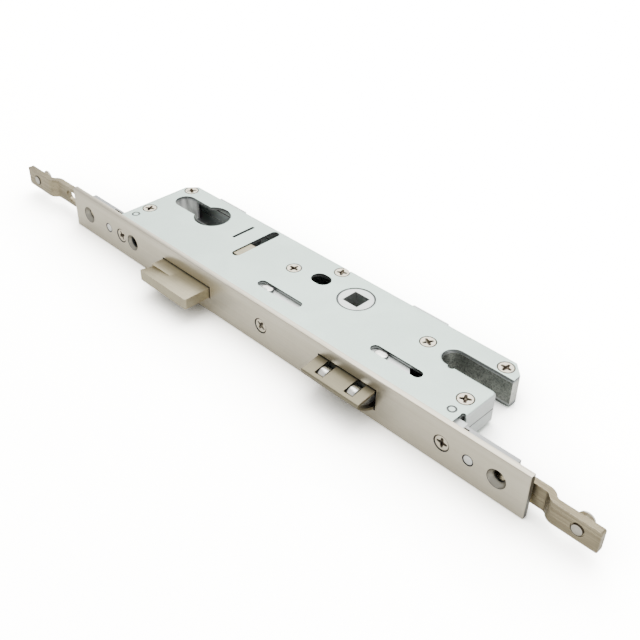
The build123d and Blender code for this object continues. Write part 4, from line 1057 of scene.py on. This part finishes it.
class LOCK_OT_case(bpy.types.Operator):
    """Forms the case shells, faceplate, castings and rod guides"""
    bl_idname = "lock.case"
    bl_label = "Case and faceplate"

    def execute(self, context):
        for node in ("case_cover", "case_base"):
            softened(node, "sheet", "zinc_plate", "zinc_plated_steel", "case", punched_walls)
        for node in ("left_rod_guide", "right_rod_guide"):
            softened(node, "sheet", "zinc_dull", "zinc_plated_steel", "case", guide_webs)
        softened("faceplate", "faceplate", "stainless_brushed", "stainless_steel", "case", faceplate_holes)
        # painted light on the arm block's right end face
        softened("arm_block", "casting", "zinc_casting", "die_cast_zinc", "case", right_end("arm_block", MM))
        softened("cylinder_saddle", "casting", "saddle_plated", "die_cast_zinc", "case")
        for node in ("left_fixing_lug", "right_fixing_lug"):
            softened(node, "thin", "zinc_plate", "die_cast_zinc", "case", rim="peg")
        softened("middle_fixing_lug", "thin", "zinc_plate", "die_cast_zinc", "case")
        refinish("zinc_plate", "cover_posts", "latch_bracket")
        refinish("nickel_satin", "lever_pivots")
        refinish("zinc_dull", "leaf_spring")
        return {"FINISHED"}


class LOCK_OT_screws(bpy.types.Operator):
    """Turns the cover screws and the faceplate screws"""
    bl_idname = "lock.screws"
    bl_label = "Screws"

    def execute(self, context):
        sizes = settings("screws")
        screws("cover_screws_cut", "cover_screws", (0, 0, 0), 2, sizes.cover_shank)
        screws("faceplate_screws_cut", "faceplate_screws", (QUARTER_TURN, 0, 0), 1, sizes.plate_shank)
        return {"FINISHED"}


class LOCK_OT_rods(bpy.types.Operator):
    """Forms the drive rods, the slide, their studs, rivets and pins"""
    bl_idname = "lock.rods"
    bl_label = "Drive rods"

    def execute(self, context):
        for node in ("left_rod", "right_rod"):
            softened(node, "rod", "rod_drawn_steel", "rod_steel", "drive_slide")
        softened("drive_slide", "sheet", "zinc_bright", "zinc_plated_steel", "drive_slide")
        guide_pins()
        guide_rivets()
        rod_studs()
        return {"FINISHED"}


class LOCK_OT_bolts(bpy.types.Operator):
    """Forms the deadbolt, the latch with its rollers and spring, and their levers"""
    bl_idname = "lock.bolts"
    bl_label = "Deadbolt and latch"

    def execute(self, context):
        softened("deadbolt", "bolt", "nickel_satin", "nickel_plated_steel", "deadbolt")
        # painted shade: the latch gets a darker copy of the deadbolt's nickel
        softened("latch_shell", "bolt", "latch_nickel", "nickel_plated_steel", "latch")
        # painted light on the carrier's right end face
        carrier_end = right_end("latch_carrier", 2 * MM)
        softened("latch_carrier", "casting", "zinc_casting", "die_cast_zinc", "latch", carrier_end)
        latch_rollers()
        latch_spring()
        refinish("zinc_plate", "deadbolt_lever", "latch_lever")
        refinish("nickel_satin", "deadbolt_lever_pin", "latch_axle", "stem_pin")
        return {"FINISHED"}


class LOCK_OT_follower(bpy.types.Operator):
    """Forms the follower that the spindle turns"""
    bl_idname = "lock.follower"
    bl_label = "Follower"

    def execute(self, context):
        softened("follower", "thin", "zinc_bright", "die_cast_zinc", "follower", spindle_walls, "follower")
        refinish("nickel_satin", "drive_pin")
        return {"FINISHED"}


class LOCK_PT_panel(bpy.types.Panel):
    """Lists the steps that dress the lock"""
    bl_label = "Door lock"
    bl_idname = "LOCK_PT_panel"
    bl_space_type = "VIEW_3D"
    bl_region_type = "UI"
    bl_category = "Lock"

    def draw(self, context):
        for operator in OPERATORS:
            self.layout.operator(operator.bl_idname)
        for name, group in GROUPS.items():
            box = self.layout.box()
            box.label(text=name.capitalize())
            for key in group.__annotations__:
                box.prop(settings(name), key)


GROUPS = {"colours": LockColours, "screws": ScrewSizes, "running": RunningSizes, "edges": EdgeSizes,
          "stage": StageSettings}
OPERATORS = (LOCK_OT_stage, LOCK_OT_case, LOCK_OT_follower, LOCK_OT_rods, LOCK_OT_bolts, LOCK_OT_screws)


def register():
    for group in GROUPS.values():
        bpy.utils.register_class(group)
    for name, group in GROUPS.items():
        setattr(bpy.types.Scene, "lock_" + name, PointerProperty(type=group))
    for made in (*OPERATORS, LOCK_PT_panel):
        bpy.utils.register_class(made)


def unregister():
    for made in (LOCK_PT_panel, *OPERATORS, *GROUPS.values()):
        bpy.utils.unregister_class(made)
    for name in GROUPS:
        delattr(bpy.types.Scene, "lock_" + name)


def main():
    register()
    for build in (build_grain_group, build_cloud_group, build_scratch_group, build_edge_group,
                  build_turning_group):
        build()
    bpy.ops.lock.stage()
    bpy.ops.lock.case()
    bpy.ops.lock.follower()
    bpy.ops.lock.rods()
    bpy.ops.lock.bolts()
    bpy.ops.lock.screws()


if __name__ == "__main__":
    main()
